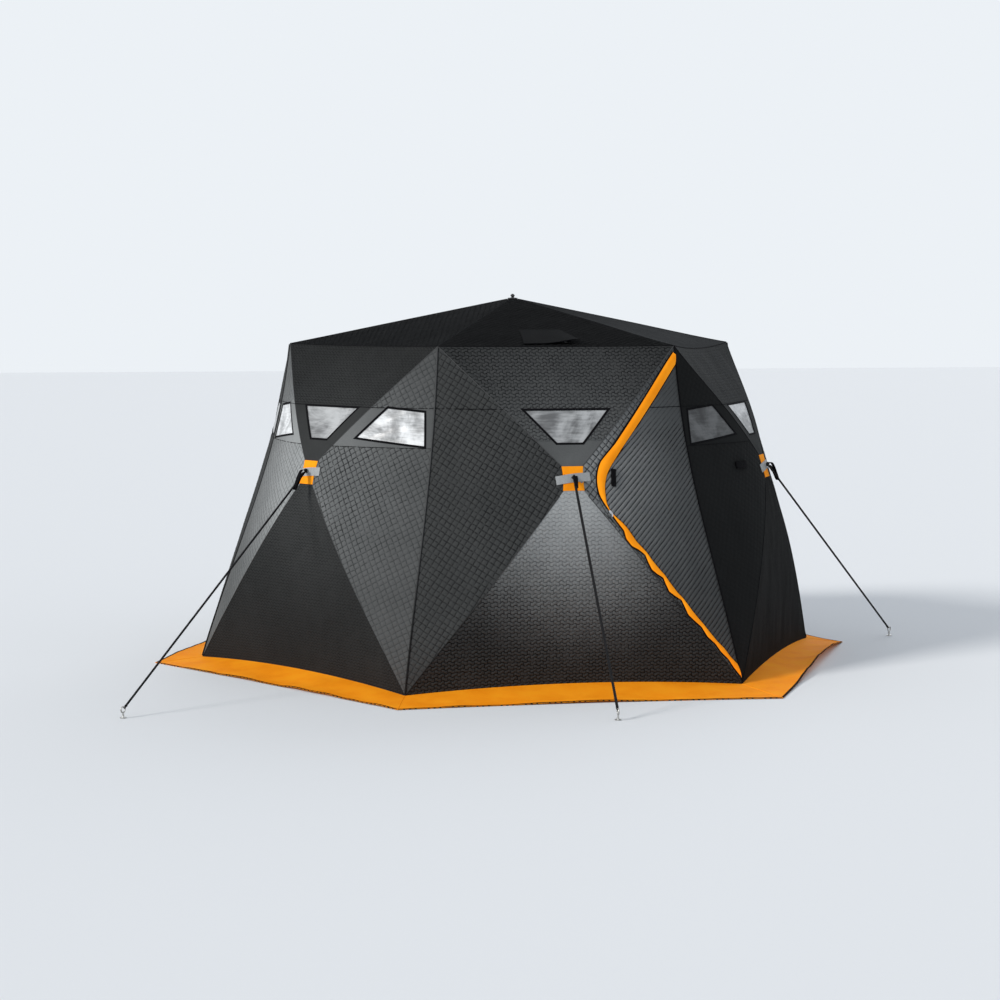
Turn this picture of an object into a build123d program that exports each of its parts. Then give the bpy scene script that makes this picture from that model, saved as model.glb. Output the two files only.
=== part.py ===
# Six sided hub style ice fishing hut, in millimetres.
# Each wall and roof side is quilted fabric, pushed out by sprung poles that spread from a hub.
# Origin on the level ground under the roof's peak, +Z up, front wall (with the door) facing -Y.
from build123d import *
import math
import os

os.makedirs("parts", exist_ok=True)

# Shell of the hut
wall_names = ["front", "front_right", "rear_right", "rear", "rear_left", "front_left"]
eave_height = 1835.0
roof_rise = 265.0
eave_corner_radius = 1325.0
ground_corner_radius = 1855.0
wall_hub_drop = 696.0
wall_hub_bulge = 202.4
wall_edge_height = 8.0
wall_edge_rise = 36.0
arch_steps = 6
fabric = 6.0
seam_gap = 0.4
seat_gap = 0.3
tip_cut = 9.0
hub_opening_radius = 22.0
bar_sides = 8
disc_sides = 12
pin_sides = 6

# Poles, their end ferrules and the corner knuckles that hold them
# Slim round parts are made with a few flat sides, set by bar_sides, disc_sides and pin_sides
pole_radius = 5.5
pole_clearance = 0.2
ferrule_radius = 8.5
ferrule_length = 52.0
ferrule_neck = 16.0
tongue_thickness = 7.0
tongue_height = 13.0
knuckle_radius = 16.0
knuckle_sleeve = 46.0
knuckle_core = 13.0
knuckle_pad_radius = 5.0
foot_knuckle_height = 30.0
foot_plate_radius = 32.0
foot_plate_thickness = 4.0
foot_column_radius = 10.0

# Hubs
hub_core_radius = 26.0
hub_core_depth = 28.0
hub_pivot_radius = 44.0
roof_core_radius = 34.0
roof_pivot_radius = 54.0
pivot_depth = 15.0
lug_thickness = 4.5
lug_height = 17.0
lug_clearance = 0.3
pin_radius = 3.0
bolt_radius = 5.0

# Windows, by their corners: distance across the wall from its middle, then rise above the wall's hub
window_sheet = 2.0
top_window_head = (232.0, 356.0)
top_window_sill = (72.0, 181.0)
side_window_inner_head = (445.0, 361.0)
side_window_outer_head = (660.0, 341.0)
side_window_outer_sill = (700.0, 156.0)
side_window_inner_sill = (290.0, 196.0)
walls_with_side_windows = ["front_right", "rear_right", "rear_left", "front_left"]

# Door: a flap of the front wall's right hand panel that a zip frees on two sides
# Places near the hub are by distance across the wall and rise above the hub
zip_top_overrun = 8.0
zip_nose_place = (91.0, -50.0)
zip_bottom_lift = 50.0
zip_nose_radius = 225.0
zip_upper_width = 52.0
zip_lower_width = 38.0
zip_thickness = 2.5
door_head_drop = 59.0
door_foot_lift = 36.0
door_gap = 5.0
door_hinge_gap = 0.6
welt_radius = 4.0
welt_foot_lift = 10.0
slider_place = (201.0, -189.0)
slider_length = 34.0
slider_width = 14.0
slider_thickness = 7.0
slider_bevel = 4.0
tab_place = (231.0, -6.0)
tab_width = 27.0
tab_length = 95.0
tab_thickness = 3.0
pad_place = (-328.0, 20.0)
pad_width = 110.0
pad_height = 40.0
pad_thickness = 3.0

# Patches, straps and knots on the outside of each wall hub
patch_width = 118.0
patch_height = 133.0
patch_thickness = 2.5
strap_width = 190.0
strap_height = 47.0
strap_thickness = 3.0
strap_tilt = 6.0
knot_radius = 14.0
bevel_share = 0.35
loop_length = 125.0
loop_width = 34.0
loop_webbing = 11.0
loop_thickness = 2.5

# Snow skirt round the foot
skirt_reach = 300.0
skirt_thickness = 3.0
hem_width = 18.0
hem_thickness = 5.0

# Guy ropes and their ice anchors, by wall: where each anchor stands on plan
rope_radius = 4.5
anchor_places = {
    "front": (0.0, -2480.0),
    "front_right": (2420.0, 60.0),
    "rear": (0.0, 2480.0),
    "front_left": (-2405.0, -1911.0),
}
anchor_shank_radius = 4.5
anchor_ring_radius = 15.0
anchor_ring_bar = 4.0
anchor_height = 62.0
anchor_flange_radius = 17.0
anchor_flange_thickness = 5.0
rope_knot_radius = 8.0
ring_turn = 180.0 / bar_sides

# Roof vent in the front side of the roof, set in from the eave, under a flap that laps over it all round
vent_hole_left = -130.0
vent_hole_right = 85.0
vent_hole_inset = 87.5
vent_hole_length = 210.0
vent_upper_lap = 60.0
vent_lower_lap = 55.0
vent_upper_left_lap = 11.0
vent_upper_right_lap = 15.0
vent_lower_side_lap = 50.0
vent_flap_lift = 28.0
vent_flap_thickness = 3.0
screen_thickness = 1.5
peak_cap_radius = 30.0
peak_cap_thickness = 6.0
peak_knob_radius = 13.0

side_count = len(wall_names)
side_turn = 360.0 / side_count
half_turn = math.radians(side_turn / 2)
peak_height = eave_height + roof_rise
wall_hub_height = eave_height - wall_hub_drop
door_head_height = eave_height - door_head_drop
door_foot_height = wall_edge_height + door_foot_lift
zip_bottom_height = wall_edge_height + zip_bottom_lift
welt_foot_height = wall_edge_height + welt_foot_lift
skirt_corner_radius = ground_corner_radius + skirt_reach
vent_hole_lower = eave_corner_radius * math.cos(half_turn) - vent_hole_inset
vent_hole_upper = vent_hole_lower - vent_hole_length
up = Vector(0, 0, 1)
base_align = (Align.CENTER, Align.CENTER, Align.MIN)


def on_front(across, height, outward):
    """A point by its place across the front wall, its height and its distance out."""
    return Vector(across, -outward, height)


def corner_point(side, height):
    """A point on the front wall's left (-1) or right (+1) corner line."""
    lean = (ground_corner_radius - eave_corner_radius) / eave_height
    radius = ground_corner_radius - lean * height
    return on_front(side * radius * math.sin(half_turn), height, radius * math.cos(half_turn))


def by_hub(place):
    """A place across a wall and above its hub, as a place across and a height."""
    across, rise = place
    return across, wall_hub_height + rise


def face_plane(first, second, third):
    """The plane of a panel whose corners run anticlockwise seen from outside."""
    return Plane(origin=first, z_dir=(second - first).cross(third - first))


def level_plane(height):
    """The horizontal plane at a height."""
    return Plane(origin=(0, 0, height), z_dir=(0, 0, 1))


def facing_plane(outward, turned=1):
    """The upright plane at a distance out from the middle, facing out (1) or in (-1)."""
    return Plane(origin=(0, -outward, 0), z_dir=(0, -turned, 0))


def meet(first, second, third):
    """The point that three planes share."""
    planes = [first, second, third]
    total = Vector(0, 0, 0)
    for i in range(3):
        depth = planes[i].z_dir.dot(planes[i].origin)
        total += planes[i - 2].z_dir.cross(planes[i - 1].z_dir) * depth
    volume = first.z_dir.dot(second.z_dir.cross(third.z_dir))
    return total * (1 / volume)


def on_face(face, across, height):
    """The point of a plane at a place across the wall and a height."""
    return meet(face, level_plane(height), Plane(origin=(across, 0, 0), z_dir=(1, 0, 0)))


def seam(start, end, this_face, next_face):
    """The mitre plane along a seam, facing out of this panel and set back from the seam."""
    outwards = (end - start).cross(this_face.z_dir + next_face.z_dir)
    return Plane(origin=start, z_dir=outwards).offset(-seam_gap / 2)


def edge_plane(face, start, end, reach=0.0):
    """The plane square to a panel along an edge, facing to the right of its direction."""
    return Plane(origin=start, z_dir=(end - start).cross(face.z_dir)).offset(reach)


def blunt(tip, inside, distance):
    """The plane that cuts a panel's tip off at a distance from it."""
    return Plane(origin=tip, z_dir=tip - inside).offset(-distance)


def slab(outer_face, edges, thickness):
    """A flat panel under a face, with its edges on planes taken anticlockwise round it."""
    count = len(edges)
    rims = []
    for level in (outer_face, outer_face.offset(-thickness)):
        rims.append([meet(level, edges[i - 1], edges[i]) for i in range(count)])
    outer, inner = rims
    faces = [Face(Wire.make_polygon(outer)), Face(Wire.make_polygon(inner[::-1]))]
    for i in range(count):
        j = (i + 1) % count
        faces.append(Face(Wire.make_polygon([outer[i], inner[i], inner[j], outer[j]])))
    return Solid(Shell(faces))


def plate(face, corners, thickness, inset=0.0):
    """A flat plate under a face, over corners that run anticlockwise seen from outside."""
    count = len(corners)
    edges = [edge_plane(face, corners[i], corners[(i + 1) % count], -inset) for i in range(count)]
    return slab(face, edges, thickness)


def bar(radius, length, sides=bar_sides):
    """An upright bar from the origin, with the corners of its section on a circle."""
    return extrude(RegularPolygon(radius, sides), amount=length)


def sleeve(radius, length, sides=bar_sides):
    """An upright bar or bore from the origin, with the flats of its section touching a circle."""
    return extrude(RegularPolygon(radius, sides, major_radius=False), amount=length)


def rod(start, end, radius):
    """A bar between two points."""
    along = end - start
    return Plane(origin=start, z_dir=along) * bar(radius, along.length)


def bore(start, end, radius):
    """The bore that a bar of a radius fits, between two points."""
    along = end - start
    return Plane(origin=start, z_dir=along) * sleeve(radius, along.length)


def knob(radius):
    """A bevelled bar as long as it is wide, centred on the origin."""
    drum = Pos(0, 0, -radius) * bar(radius, 2 * radius)
    return chamfer(drum.faces().filter_by(Axis.Z).edges(), radius * bevel_share)


def around(shape, turns=range(side_count)):
    """Copies of a shape of the front side on the sides that are listed."""
    return [Rot(0, 0, side_turn * turn) * shape for turn in turns]


def save(shapes, node):
    """Write one node from its solids."""
    solids = [solid for shape in shapes for solid in shape.solids()]
    export_step(Compound(children=solids, label=node), os.path.join("parts", node + ".step"))


# Corners and planes of the front side
corners_outward = -corner_point(1, wall_hub_height).Y
wall_hub = on_front(0, wall_hub_height, corners_outward + wall_hub_bulge)
top_left = corner_point(-1, eave_height)
top_right = corner_point(1, eave_height)
bottom_left = corner_point(-1, wall_edge_height)
bottom_right = corner_point(1, wall_edge_height)
peak = Vector(0, 0, peak_height)
top_face = face_plane(wall_hub, top_right, top_left)
right_face = face_plane(wall_hub, bottom_right, top_right)
bottom_face = face_plane(wall_hub, bottom_left, bottom_right)
left_face = face_plane(wall_hub, top_left, bottom_left)
roof_face = face_plane(peak, top_left, top_right)
chord_face = face_plane(bottom_left, bottom_right, top_right)
right_radial = Plane(origin=(0, 0, 0), z_dir=(math.cos(half_turn), math.sin(half_turn), 0))
left_radial = Plane(origin=(0, 0, 0), z_dir=(-math.cos(half_turn), math.sin(half_turn), 0))
right_corner_cut = right_radial.offset(-seam_gap / 2)
left_corner_cut = left_radial.offset(-seam_gap / 2)
right_tip_cut = right_radial.offset(-tip_cut)
left_tip_cut = left_radial.offset(-tip_cut)
upper_tip_cut = level_plane(eave_height - tip_cut)
lower_tip_cut = Plane(origin=bottom_left + up * tip_cut, z_dir=-up)
hub_plane = Plane(origin=wall_hub, x_dir=(1, 0, 0), z_dir=chord_face.z_dir)


def hub_cut(first_corner, second_corner):
    """The cut that opens a panel round the wall hub's bolt."""
    return blunt(wall_hub, (first_corner + second_corner) * 0.5, hub_opening_radius)


# Four quilted panels make one wall
top_edges = [
    hub_cut(top_left, top_right),
    seam(wall_hub, top_right, top_face, right_face),
    right_tip_cut,
    seam(top_right, top_left, top_face, roof_face),
    left_tip_cut,
    seam(top_left, wall_hub, top_face, left_face),
]
right_edges = [
    hub_cut(top_right, bottom_right),
    seam(wall_hub, bottom_right, right_face, bottom_face),
    lower_tip_cut,
    right_corner_cut,
    upper_tip_cut,
    seam(top_right, wall_hub, right_face, top_face),
]
left_edges = [
    hub_cut(top_left, bottom_left),
    seam(wall_hub, top_left, left_face, top_face),
    upper_tip_cut,
    left_corner_cut,
    lower_tip_cut,
    seam(bottom_left, wall_hub, left_face, bottom_face),
]
bottom_edges = [
    hub_cut(bottom_left, bottom_right),
    seam(wall_hub, bottom_left, bottom_face, left_face),
    left_tip_cut,
    Plane(origin=bottom_left, z_dir=-up),
    right_tip_cut,
    seam(bottom_right, wall_hub, bottom_face, right_face),
]
top_panel = slab(top_face, top_edges, fabric)
right_panel = slab(right_face, right_edges, fabric)
left_panel = slab(left_face, left_edges, fabric)
bottom_panel = slab(bottom_face, bottom_edges, fabric)

# The wall's lower edge arches up between its corners
arch_shares = [2 * step / arch_steps - 1 for step in range(arch_steps + 1)]


def arch_height(share):
    """How high the wall's lower edge is, by its share of the way from the middle to a corner."""
    return wall_edge_height + wall_edge_rise * (1 - share * share)


arch_points = [Vector(share * bottom_right.X, 0, arch_height(share)) for share in arch_shares]
under_arch = Face(Wire.make_polygon(arch_points))
bottom_panel = bottom_panel - extrude(under_arch, amount=ground_corner_radius, dir=(0, -1, 0))


def window_corners(face, outline):
    """The corners of a window on a panel's outer face."""
    return [on_face(face, *by_hub(place)) for place in outline]


def mirrored(outline):
    """The same outline on the other side of the wall's middle."""
    return [(-across, rise) for across, rise in reversed(outline)]


# Windows are cut through the panels, and a clear sheet closes each one
half_top_window = [top_window_sill, top_window_head]
top_outline = half_top_window + mirrored(half_top_window)
right_outline = [
    side_window_inner_sill,
    side_window_outer_sill,
    side_window_outer_head,
    side_window_inner_head,
]
window_outlines = [
    (top_face, top_outline),
    (right_face, right_outline),
    (left_face, mirrored(right_outline)),
]
holes = []
sheets = []
for face, outline in window_outlines:
    holes.append(plate(face.offset(fabric), window_corners(face, outline), 3 * fabric))
    sheet_face = face.offset((window_sheet - fabric) / 2)
    sheets.append(plate(sheet_face, window_corners(face, outline), window_sheet, seat_gap))
top_panel = top_panel - holes[0]
glazed_right_panel = right_panel - holes[1]
glazed_left_panel = left_panel - holes[2]


# The zip runs from a little past the corner at the flap's head, round a nose near the hub, to the foot
zip_top = (corner_point(1, door_head_height).X + zip_top_overrun, door_head_height)
zip_nose = by_hub(zip_nose_place)
zip_bottom = (corner_point(1, zip_bottom_height).X, zip_bottom_height)


def zip_line(first, second, reach):
    """The upright cut along one side of the door's zip, facing away from the door."""
    start = on_face(right_face, *first)
    end = on_face(right_face, *second)
    return edge_plane(right_face, start, end, reach)


def door_shape(face, thickness, upper_reach, lower_reach, margin=0.0, hinge_cut=right_corner_cut):
    """The door's outline as a plate, from the zip's line outwards by a reach."""
    edges = [
        zip_line(zip_nose, zip_bottom, lower_reach),
        Plane(origin=(0, 0, door_foot_height - margin), z_dir=-up),
        hinge_cut,
        Plane(origin=(0, 0, door_head_height + margin), z_dir=up),
        zip_line(zip_top, zip_nose, upper_reach),
    ]
    shape = slab(face, edges, thickness)
    nose = meet(face.offset(-thickness / 2), edges[-1], edges[0])
    nose_edge = min(shape.edges(), key=lambda edge: (edge.center() - nose).length)
    return fillet(nose_edge, zip_nose_radius + lower_reach)


# The door opening leaves a narrow surround beside the front wall's seams
upper_reach = zip_upper_width / 2
lower_reach = zip_lower_width / 2
past_corner = right_radial.offset(2 * zip_upper_width)
door_void = door_shape(
    right_face.offset(fabric),
    3 * fabric,
    upper_reach + door_gap,
    lower_reach + door_gap,
    margin=door_gap,
    hinge_cut=past_corner,
)
nose_split = Pos(*wall_hub) * Box(2 * ground_corner_radius, ground_corner_radius, seam_gap)
door_surround = right_panel - door_void - nose_split
door_hinge_cut = right_radial.offset(-door_hinge_gap)
door_flap = door_shape(right_face, fabric, upper_reach, lower_reach, hinge_cut=door_hinge_cut)

# The zip's cloth band lies on the flap along its free edge, and is pinched at the slider
band_face = right_face.offset(zip_thickness + seat_gap)
band_hinge_cut = right_radial.offset(-welt_radius - door_hinge_gap)
band = door_shape(band_face, zip_thickness, upper_reach, lower_reach, hinge_cut=band_hinge_cut)
band = band - door_shape(
    band_face.offset(zip_thickness),
    3 * zip_thickness,
    -upper_reach,
    -lower_reach,
    margin=door_gap,
    hinge_cut=past_corner,
)
slider_centre = on_face(right_face, *by_hub(slider_place))
zip_slope = (on_face(right_face, *zip_bottom) - on_face(right_face, *zip_nose)).normalized()
slider_plane = Plane(origin=slider_centre, x_dir=zip_slope, z_dir=right_face.z_dir)
slider_room = Box(slider_length + 2 * seat_gap, 3 * zip_upper_width, 6 * zip_thickness)
zip_band = band - slider_plane * slider_room
slider_body = chamfer(
    Box(slider_length, slider_width, slider_thickness, align=base_align).edges().filter_by(Axis.Z),
    slider_bevel,
)
zip_slider = slider_plane.offset(seat_gap) * slider_body


def flat_patch(face, place, width, height, thickness):
    """A flat rectangle of webbing seated on a panel."""
    origin = on_face(face, *by_hub(place))
    seat = Plane(origin=origin, x_dir=face.z_dir.cross(up).cross(face.z_dir) * -1, z_dir=face.z_dir)
    return seat.offset(seat_gap) * Box(height, width, thickness, align=base_align)


tie_tab = flat_patch(right_face, tab_place, tab_width, tab_length, tab_thickness)
tie_pad = flat_patch(left_face, pad_place, pad_width, pad_height, pad_thickness)

# A welt is sewn along each corner line, and the door turns about the welt at its own corner
welt_seat = right_face.offset(welt_radius + seat_gap)
welt_foot = meet(welt_seat, right_radial, level_plane(welt_foot_height))
welt_head = meet(welt_seat, right_radial, level_plane(eave_height - welt_radius))
corner_welt = Plane(origin=welt_foot, z_dir=welt_head - welt_foot) * sleeve(
    welt_radius, (welt_head - welt_foot).length, disc_sides
)

# Roof sides, the front one with its vent
roof_edges = [
    blunt(peak, (top_left + top_right) * 0.5, hub_opening_radius),
    left_corner_cut,
    seam(top_left, top_right, roof_face, top_face),
    right_corner_cut,
]
roof_side = slab(roof_face, roof_edges, fabric)


def on_roof(face, across, outward):
    """The point of a roof face at a place across and a distance out from the peak."""
    return meet(face, facing_plane(outward), Plane(origin=(across, 0, 0), z_dir=(1, 0, 0)))


vent_corners = [
    on_roof(roof_face, vent_hole_left, vent_hole_upper),
    on_roof(roof_face, vent_hole_left, vent_hole_lower),
    on_roof(roof_face, vent_hole_right, vent_hole_lower),
    on_roof(roof_face, vent_hole_right, vent_hole_upper),
]
vent_hole = plate(roof_face.offset(fabric), vent_corners, 3 * fabric)
vent_screen = plate(roof_face.offset(-fabric / 2), vent_corners, screen_thickness, seat_gap)
front_roof_side = roof_side - vent_hole

# The vent's flap is sewn to the roof along its upper edge and its left hand gusset
flap_seat = roof_face.offset(seat_gap + vent_flap_thickness)
flap_raised = roof_face.offset(seat_gap + vent_flap_thickness + vent_flap_lift)
flap_upper = vent_hole_upper - vent_upper_lap
flap_lower = vent_hole_lower + vent_lower_lap
flap_corners = [
    on_roof(flap_seat, vent_hole_left - vent_upper_left_lap, flap_upper),
    on_roof(flap_raised, vent_hole_left - vent_lower_side_lap, flap_lower),
    on_roof(flap_raised, vent_hole_right + vent_lower_side_lap, flap_lower),
    on_roof(flap_seat, vent_hole_right + vent_upper_right_lap, flap_upper),
]
flap_face = face_plane(*flap_corners[:3])
vent_flap = plate(flap_face, flap_corners, vent_flap_thickness)
flap_under = flap_face.offset(-vent_flap_thickness - seat_gap)
gusset_face = edge_plane(flap_face, flap_corners[0], flap_corners[1])
gusset_edges = [
    roof_face.offset(seat_gap),
    facing_plane(flap_lower),
    flap_under,
    facing_plane((flap_upper + vent_hole_upper) / 2, -1),
]
vent_gusset = slab(gusset_face, gusset_edges, vent_flap_thickness)

# Corner knuckles: pads under the fabric, with a sleeve for each pole that ends there
knuckle_depth = fabric + seat_gap + knuckle_radius
eave_knuckle = meet(right_face.offset(-knuckle_depth), roof_face.offset(-knuckle_depth), right_radial)
foot_knuckle = meet(right_face.offset(-knuckle_depth), level_plane(foot_knuckle_height), right_radial)


def turned_point(point, turn):
    """A point of the front side on another side."""
    return point.rotate(Axis.Z, side_turn * turn)


def hub_top(core_radius, faces, axis):
    """How far under the fabric's tip the top of a hub's core sits."""
    steepest = math.radians(max(face.z_dir.get_angle(axis) for face in faces))
    return core_radius * math.tan(steepest) + fabric / math.cos(steepest) + seat_gap


wall_hub_top = hub_top(hub_core_radius, [top_face, right_face, bottom_face, left_face], hub_plane.z_dir)
roof_plane = Plane(origin=peak, x_dir=(1, 0, 0), z_dir=(0, 0, 1))
roof_hub_top = hub_top(roof_core_radius, [roof_face], up)


def pivot_in_hub(hub, core_top, pivot_radius, knuckle):
    """Where the pole that runs to a knuckle pivots on its hub, and its bearing there."""
    local = hub.to_local_coords(knuckle)
    bearing = math.atan2(local.Y, local.X)
    pivot = Vector(
        pivot_radius * math.cos(bearing),
        pivot_radius * math.sin(bearing),
        -core_top - pivot_depth,
    )
    return hub.from_local_coords(pivot), math.degrees(bearing)


def hub_solid(hub, core_top, core_radius, pivot_radius, knuckles, bolt_reach):
    """A moulded hub: a core with a pair of lugs and a pin for each pole, and a bolt outwards."""
    solid = Pos(0, 0, -core_top - hub_core_depth) * bar(core_radius, hub_core_depth, disc_sides)
    inner_end = core_radius - lug_height
    half_fork = tongue_thickness / 2 + lug_clearance
    half_pin = half_fork + lug_thickness
    lug_length = pivot_radius + lug_height / 2 - inner_end
    for knuckle in knuckles:
        bearing = pivot_in_hub(hub, core_top, pivot_radius, knuckle)[1]
        fork_place = Rot(0, 0, bearing) * Pos(inner_end, 0, -core_top - pivot_depth)
        for side in (half_fork, -half_pin):
            lug = Box(lug_length, lug_thickness, lug_height, align=(Align.MIN, Align.MIN, Align.CENTER))
            solid += fork_place * Pos(0, side, 0) * lug
        pin = Rot(90, 0, 0) * bar(pin_radius, 2 * half_pin, pin_sides)
        solid += fork_place * Pos(pivot_radius - inner_end, half_pin, 0) * pin
    bolt = Pos(0, 0, -core_top) * bar(bolt_radius, core_top + bolt_reach)
    return hub * (solid + bolt)


def ferrule(pivot, knuckle, pin_axis):
    """The socket on a pole's end, with the tongue that its hub's pin passes through."""
    along = (knuckle - pivot).normalized()
    frame = Plane(origin=pivot, x_dir=along, z_dir=pin_axis)
    tongue = Box(ferrule_neck + tongue_height, tongue_height, tongue_thickness)
    pin_room = sleeve(pin_radius + pole_clearance, 2 * tongue_thickness, pin_sides)
    pin_hole = Pos(0, 0, -tongue_thickness) * pin_room
    neck = pivot + along * ferrule_neck
    floor = neck + along * tongue_height
    tube = rod(neck, neck + along * ferrule_length, ferrule_radius)
    socket = bore(floor, floor + along * ferrule_length, pole_radius + pole_clearance)
    return frame * (Pos(ferrule_neck / 2, 0, 0) * tongue - pin_hole) + tube - socket


def pole(pivot, knuckle):
    """A straight pole from its ferrule's socket to its knuckle's sleeve."""
    along = (knuckle - pivot).normalized()
    start = pivot + along * (ferrule_neck + tongue_height + seat_gap)
    end = knuckle - along * (knuckle_core + seat_gap)
    return rod(start, end, pole_radius)


def knuckle_solid(centre, face, pivots):
    """Two pads against the walls' fabric and one sleeve for each pole, bored for the pole's end."""
    pad = rod(centre, centre + face.z_dir * knuckle_radius, knuckle_pad_radius)
    solid = pad + mirror(pad, about=right_radial)
    for pivot in pivots:
        along = (pivot - centre).normalized()
        solid += rod(centre, centre + along * knuckle_sleeve, ferrule_radius)
    for pivot in pivots:
        along = (pivot - centre).normalized()
        mouth = centre + along * (knuckle_sleeve + knuckle_radius)
        solid -= bore(centre + along * knuckle_core, mouth, pole_radius + pole_clearance)
    return solid


# The front wall's four poles run to its own corners
wall_knuckles = [
    eave_knuckle,
    turned_point(eave_knuckle, -1),
    turned_point(foot_knuckle, -1),
    foot_knuckle,
]
wall_poles = []
wall_ferrules = []
wall_pivots = []
for knuckle in wall_knuckles:
    pivot, bearing = pivot_in_hub(hub_plane, wall_hub_top, hub_pivot_radius, knuckle)
    pin_axis = hub_plane.z_dir.cross(hub_plane.x_dir.rotate(Axis((0, 0, 0), hub_plane.z_dir), bearing))
    wall_pivots.append(pivot)
    wall_poles.append(pole(pivot, knuckle))
    wall_ferrules.append(ferrule(pivot, knuckle, pin_axis))
roof_knuckles = [turned_point(eave_knuckle, turn) for turn in range(side_count)]
roof_pivot, roof_bearing = pivot_in_hub(roof_plane, roof_hub_top, roof_pivot_radius, eave_knuckle)
roof_pin_axis = up.cross(Vector(math.cos(math.radians(roof_bearing)), math.sin(math.radians(roof_bearing)), 0))
roof_pole = pole(roof_pivot, eave_knuckle)
roof_ferrule = ferrule(roof_pivot, eave_knuckle, roof_pin_axis)
eave_bracket = knuckle_solid(
    eave_knuckle, right_face, [wall_pivots[0], turned_point(wall_pivots[1], 1), roof_pivot]
)
foot_bracket = knuckle_solid(foot_knuckle, right_face, [wall_pivots[3], turned_point(wall_pivots[2], 1)])
foot_place = Pos(foot_knuckle.X, foot_knuckle.Y, 0)
foot_column = foot_place * bar(foot_column_radius, foot_knuckle_height)
foot_bracket += foot_column + foot_place * bar(foot_plate_radius, foot_plate_thickness, disc_sides)

# Hub patches follow the fabric's shallow point, and a strap crosses each one
tent_faces = [
    Face(Wire.make_polygon([wall_hub, first, second]))
    for first, second in (
        (top_right, top_left),
        (bottom_right, top_right),
        (bottom_left, bottom_right),
        (top_left, bottom_left),
    )
]
tent_faces.append(Face(Wire.make_polygon([top_left, top_right, bottom_right, bottom_left])))
tent = Solid(Shell(tent_faces))


def draped(width, height, low, high, tilt):
    """A rectangle of cloth laid over the fabric's point, between two heights above it."""
    column = hub_plane * Rot(0, 0, tilt) * Box(width, height, 2 * width)
    layer = Pos(*(hub_plane.z_dir * high)) * tent - Pos(*(hub_plane.z_dir * low)) * tent
    return column & layer


patch_low = seat_gap
patch_high = patch_low + patch_thickness
strap_low = patch_high + seat_gap
strap_high = strap_low + strap_thickness
knot_height = strap_high + knot_radius + seat_gap
bolt_room = hub_plane * Pos(0, 0, -3 * knot_radius) * sleeve(bolt_radius + seat_gap, 6 * knot_radius)
hub_patch = draped(patch_width, patch_height, patch_low, patch_high, 0) - bolt_room
hub_strap = draped(strap_width, strap_height, strap_low, strap_high, strap_tilt) - bolt_room
hub_knot = hub_plane * Pos(0, 0, knot_height) * knob(knot_radius)
knot_room = hub_plane * Pos(0, 0, knot_height) * knob(knot_radius + seat_gap)
bolt_reach = knot_height - knot_radius - seat_gap

# A pull loop of webbing hangs from each knot, clear of the strap
loop_seat = Plane(origin=wall_hub, x_dir=(1, 0, 0), z_dir=bottom_face.z_dir).offset(strap_high + seat_gap)
loop_body = chamfer(
    Rectangle(loop_width, loop_length, align=(Align.CENTER, Align.MAX)).vertices(), loop_webbing
)
loop_slot = Pos(0, -loop_webbing, 0) * Rectangle(
    loop_width - 2 * loop_webbing, loop_length - 2 * loop_webbing, align=(Align.CENTER, Align.MAX)
)
below_bolt = Pos(0, -bolt_radius - seat_gap, 0)
pull_loop = loop_seat * below_bolt * extrude(loop_body - loop_slot, amount=loop_thickness) - knot_room

wall_hub_solid = hub_solid(
    hub_plane, wall_hub_top, hub_core_radius, hub_pivot_radius, wall_knuckles, bolt_reach
)
cap_seat = hub_opening_radius * math.tan(math.radians(roof_face.z_dir.get_angle(up)))
roof_hub_solid = hub_solid(
    roof_plane, roof_hub_top, roof_core_radius, roof_pivot_radius, roof_knuckles, -cap_seat
)
peak_cap = roof_plane * Pos(0, 0, seat_gap - cap_seat) * (
    bar(peak_cap_radius, peak_cap_thickness, disc_sides)
    + Pos(0, 0, peak_cap_thickness + peak_knob_radius * 0.8) * knob(peak_knob_radius)
)

# Skirt: one sloping side for each wall, from the wall's arched edge to a straight hem
skirt_seat = bottom_face.offset(seat_gap)
hem_outward = skirt_corner_radius * math.cos(half_turn)
skirt_outward = hem_outward - hem_width
edge_level = level_plane(wall_edge_height)
hem_level = level_plane(skirt_thickness)
upper_row = [meet(skirt_seat, left_corner_cut, edge_level)]
upper_row += [on_face(skirt_seat, point.X, point.Z) for point in arch_points[1:-1]]
upper_row.append(meet(skirt_seat, right_corner_cut, edge_level))
hem_end = meet(facing_plane(skirt_outward), right_corner_cut, hem_level)
lower_row = [on_front(share * hem_end.X, skirt_thickness, skirt_outward) for share in arch_shares]


def cloth_between(upper, lower, thickness):
    """A solid under the triangles that join two rows of points, each row running to the right."""
    below = [point - up * thickness for point in upper]
    under = [point - up * thickness for point in lower]
    outlines = [[upper[0], below[0], under[0], lower[0]], [upper[-1], lower[-1], under[-1], below[-1]]]
    for i in range(len(upper) - 1):
        j = i + 1
        outlines.append([upper[i], lower[i], lower[j]])
        outlines.append([upper[i], lower[j], upper[j]])
        outlines.append([below[i], under[j], under[i]])
        outlines.append([below[i], below[j], under[j]])
        outlines.append([lower[i], under[i], under[j], lower[j]])
        outlines.append([upper[j], below[j], below[i], upper[i]])
    return Solid(Shell([Face(Wire.make_polygon(outline)) for outline in outlines]))


skirt_side = cloth_between(upper_row, lower_row, skirt_thickness)
hem_edges = [
    facing_plane(hem_outward),
    right_corner_cut,
    facing_plane(skirt_outward + seat_gap, -1),
    left_corner_cut,
]
skirt_hem = slab(level_plane(hem_thickness), hem_edges, hem_thickness)


def anchor_ring_centre(wall):
    """The middle of an ice anchor's ring."""
    return Vector(*anchor_places[wall], anchor_height - anchor_ring_radius - anchor_ring_bar)


def knot_centre(wall):
    """The middle of the knot on a wall's hub."""
    return turned_point(hub_plane.from_local_coords(Vector(0, 0, knot_height)), wall_names.index(wall))


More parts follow.
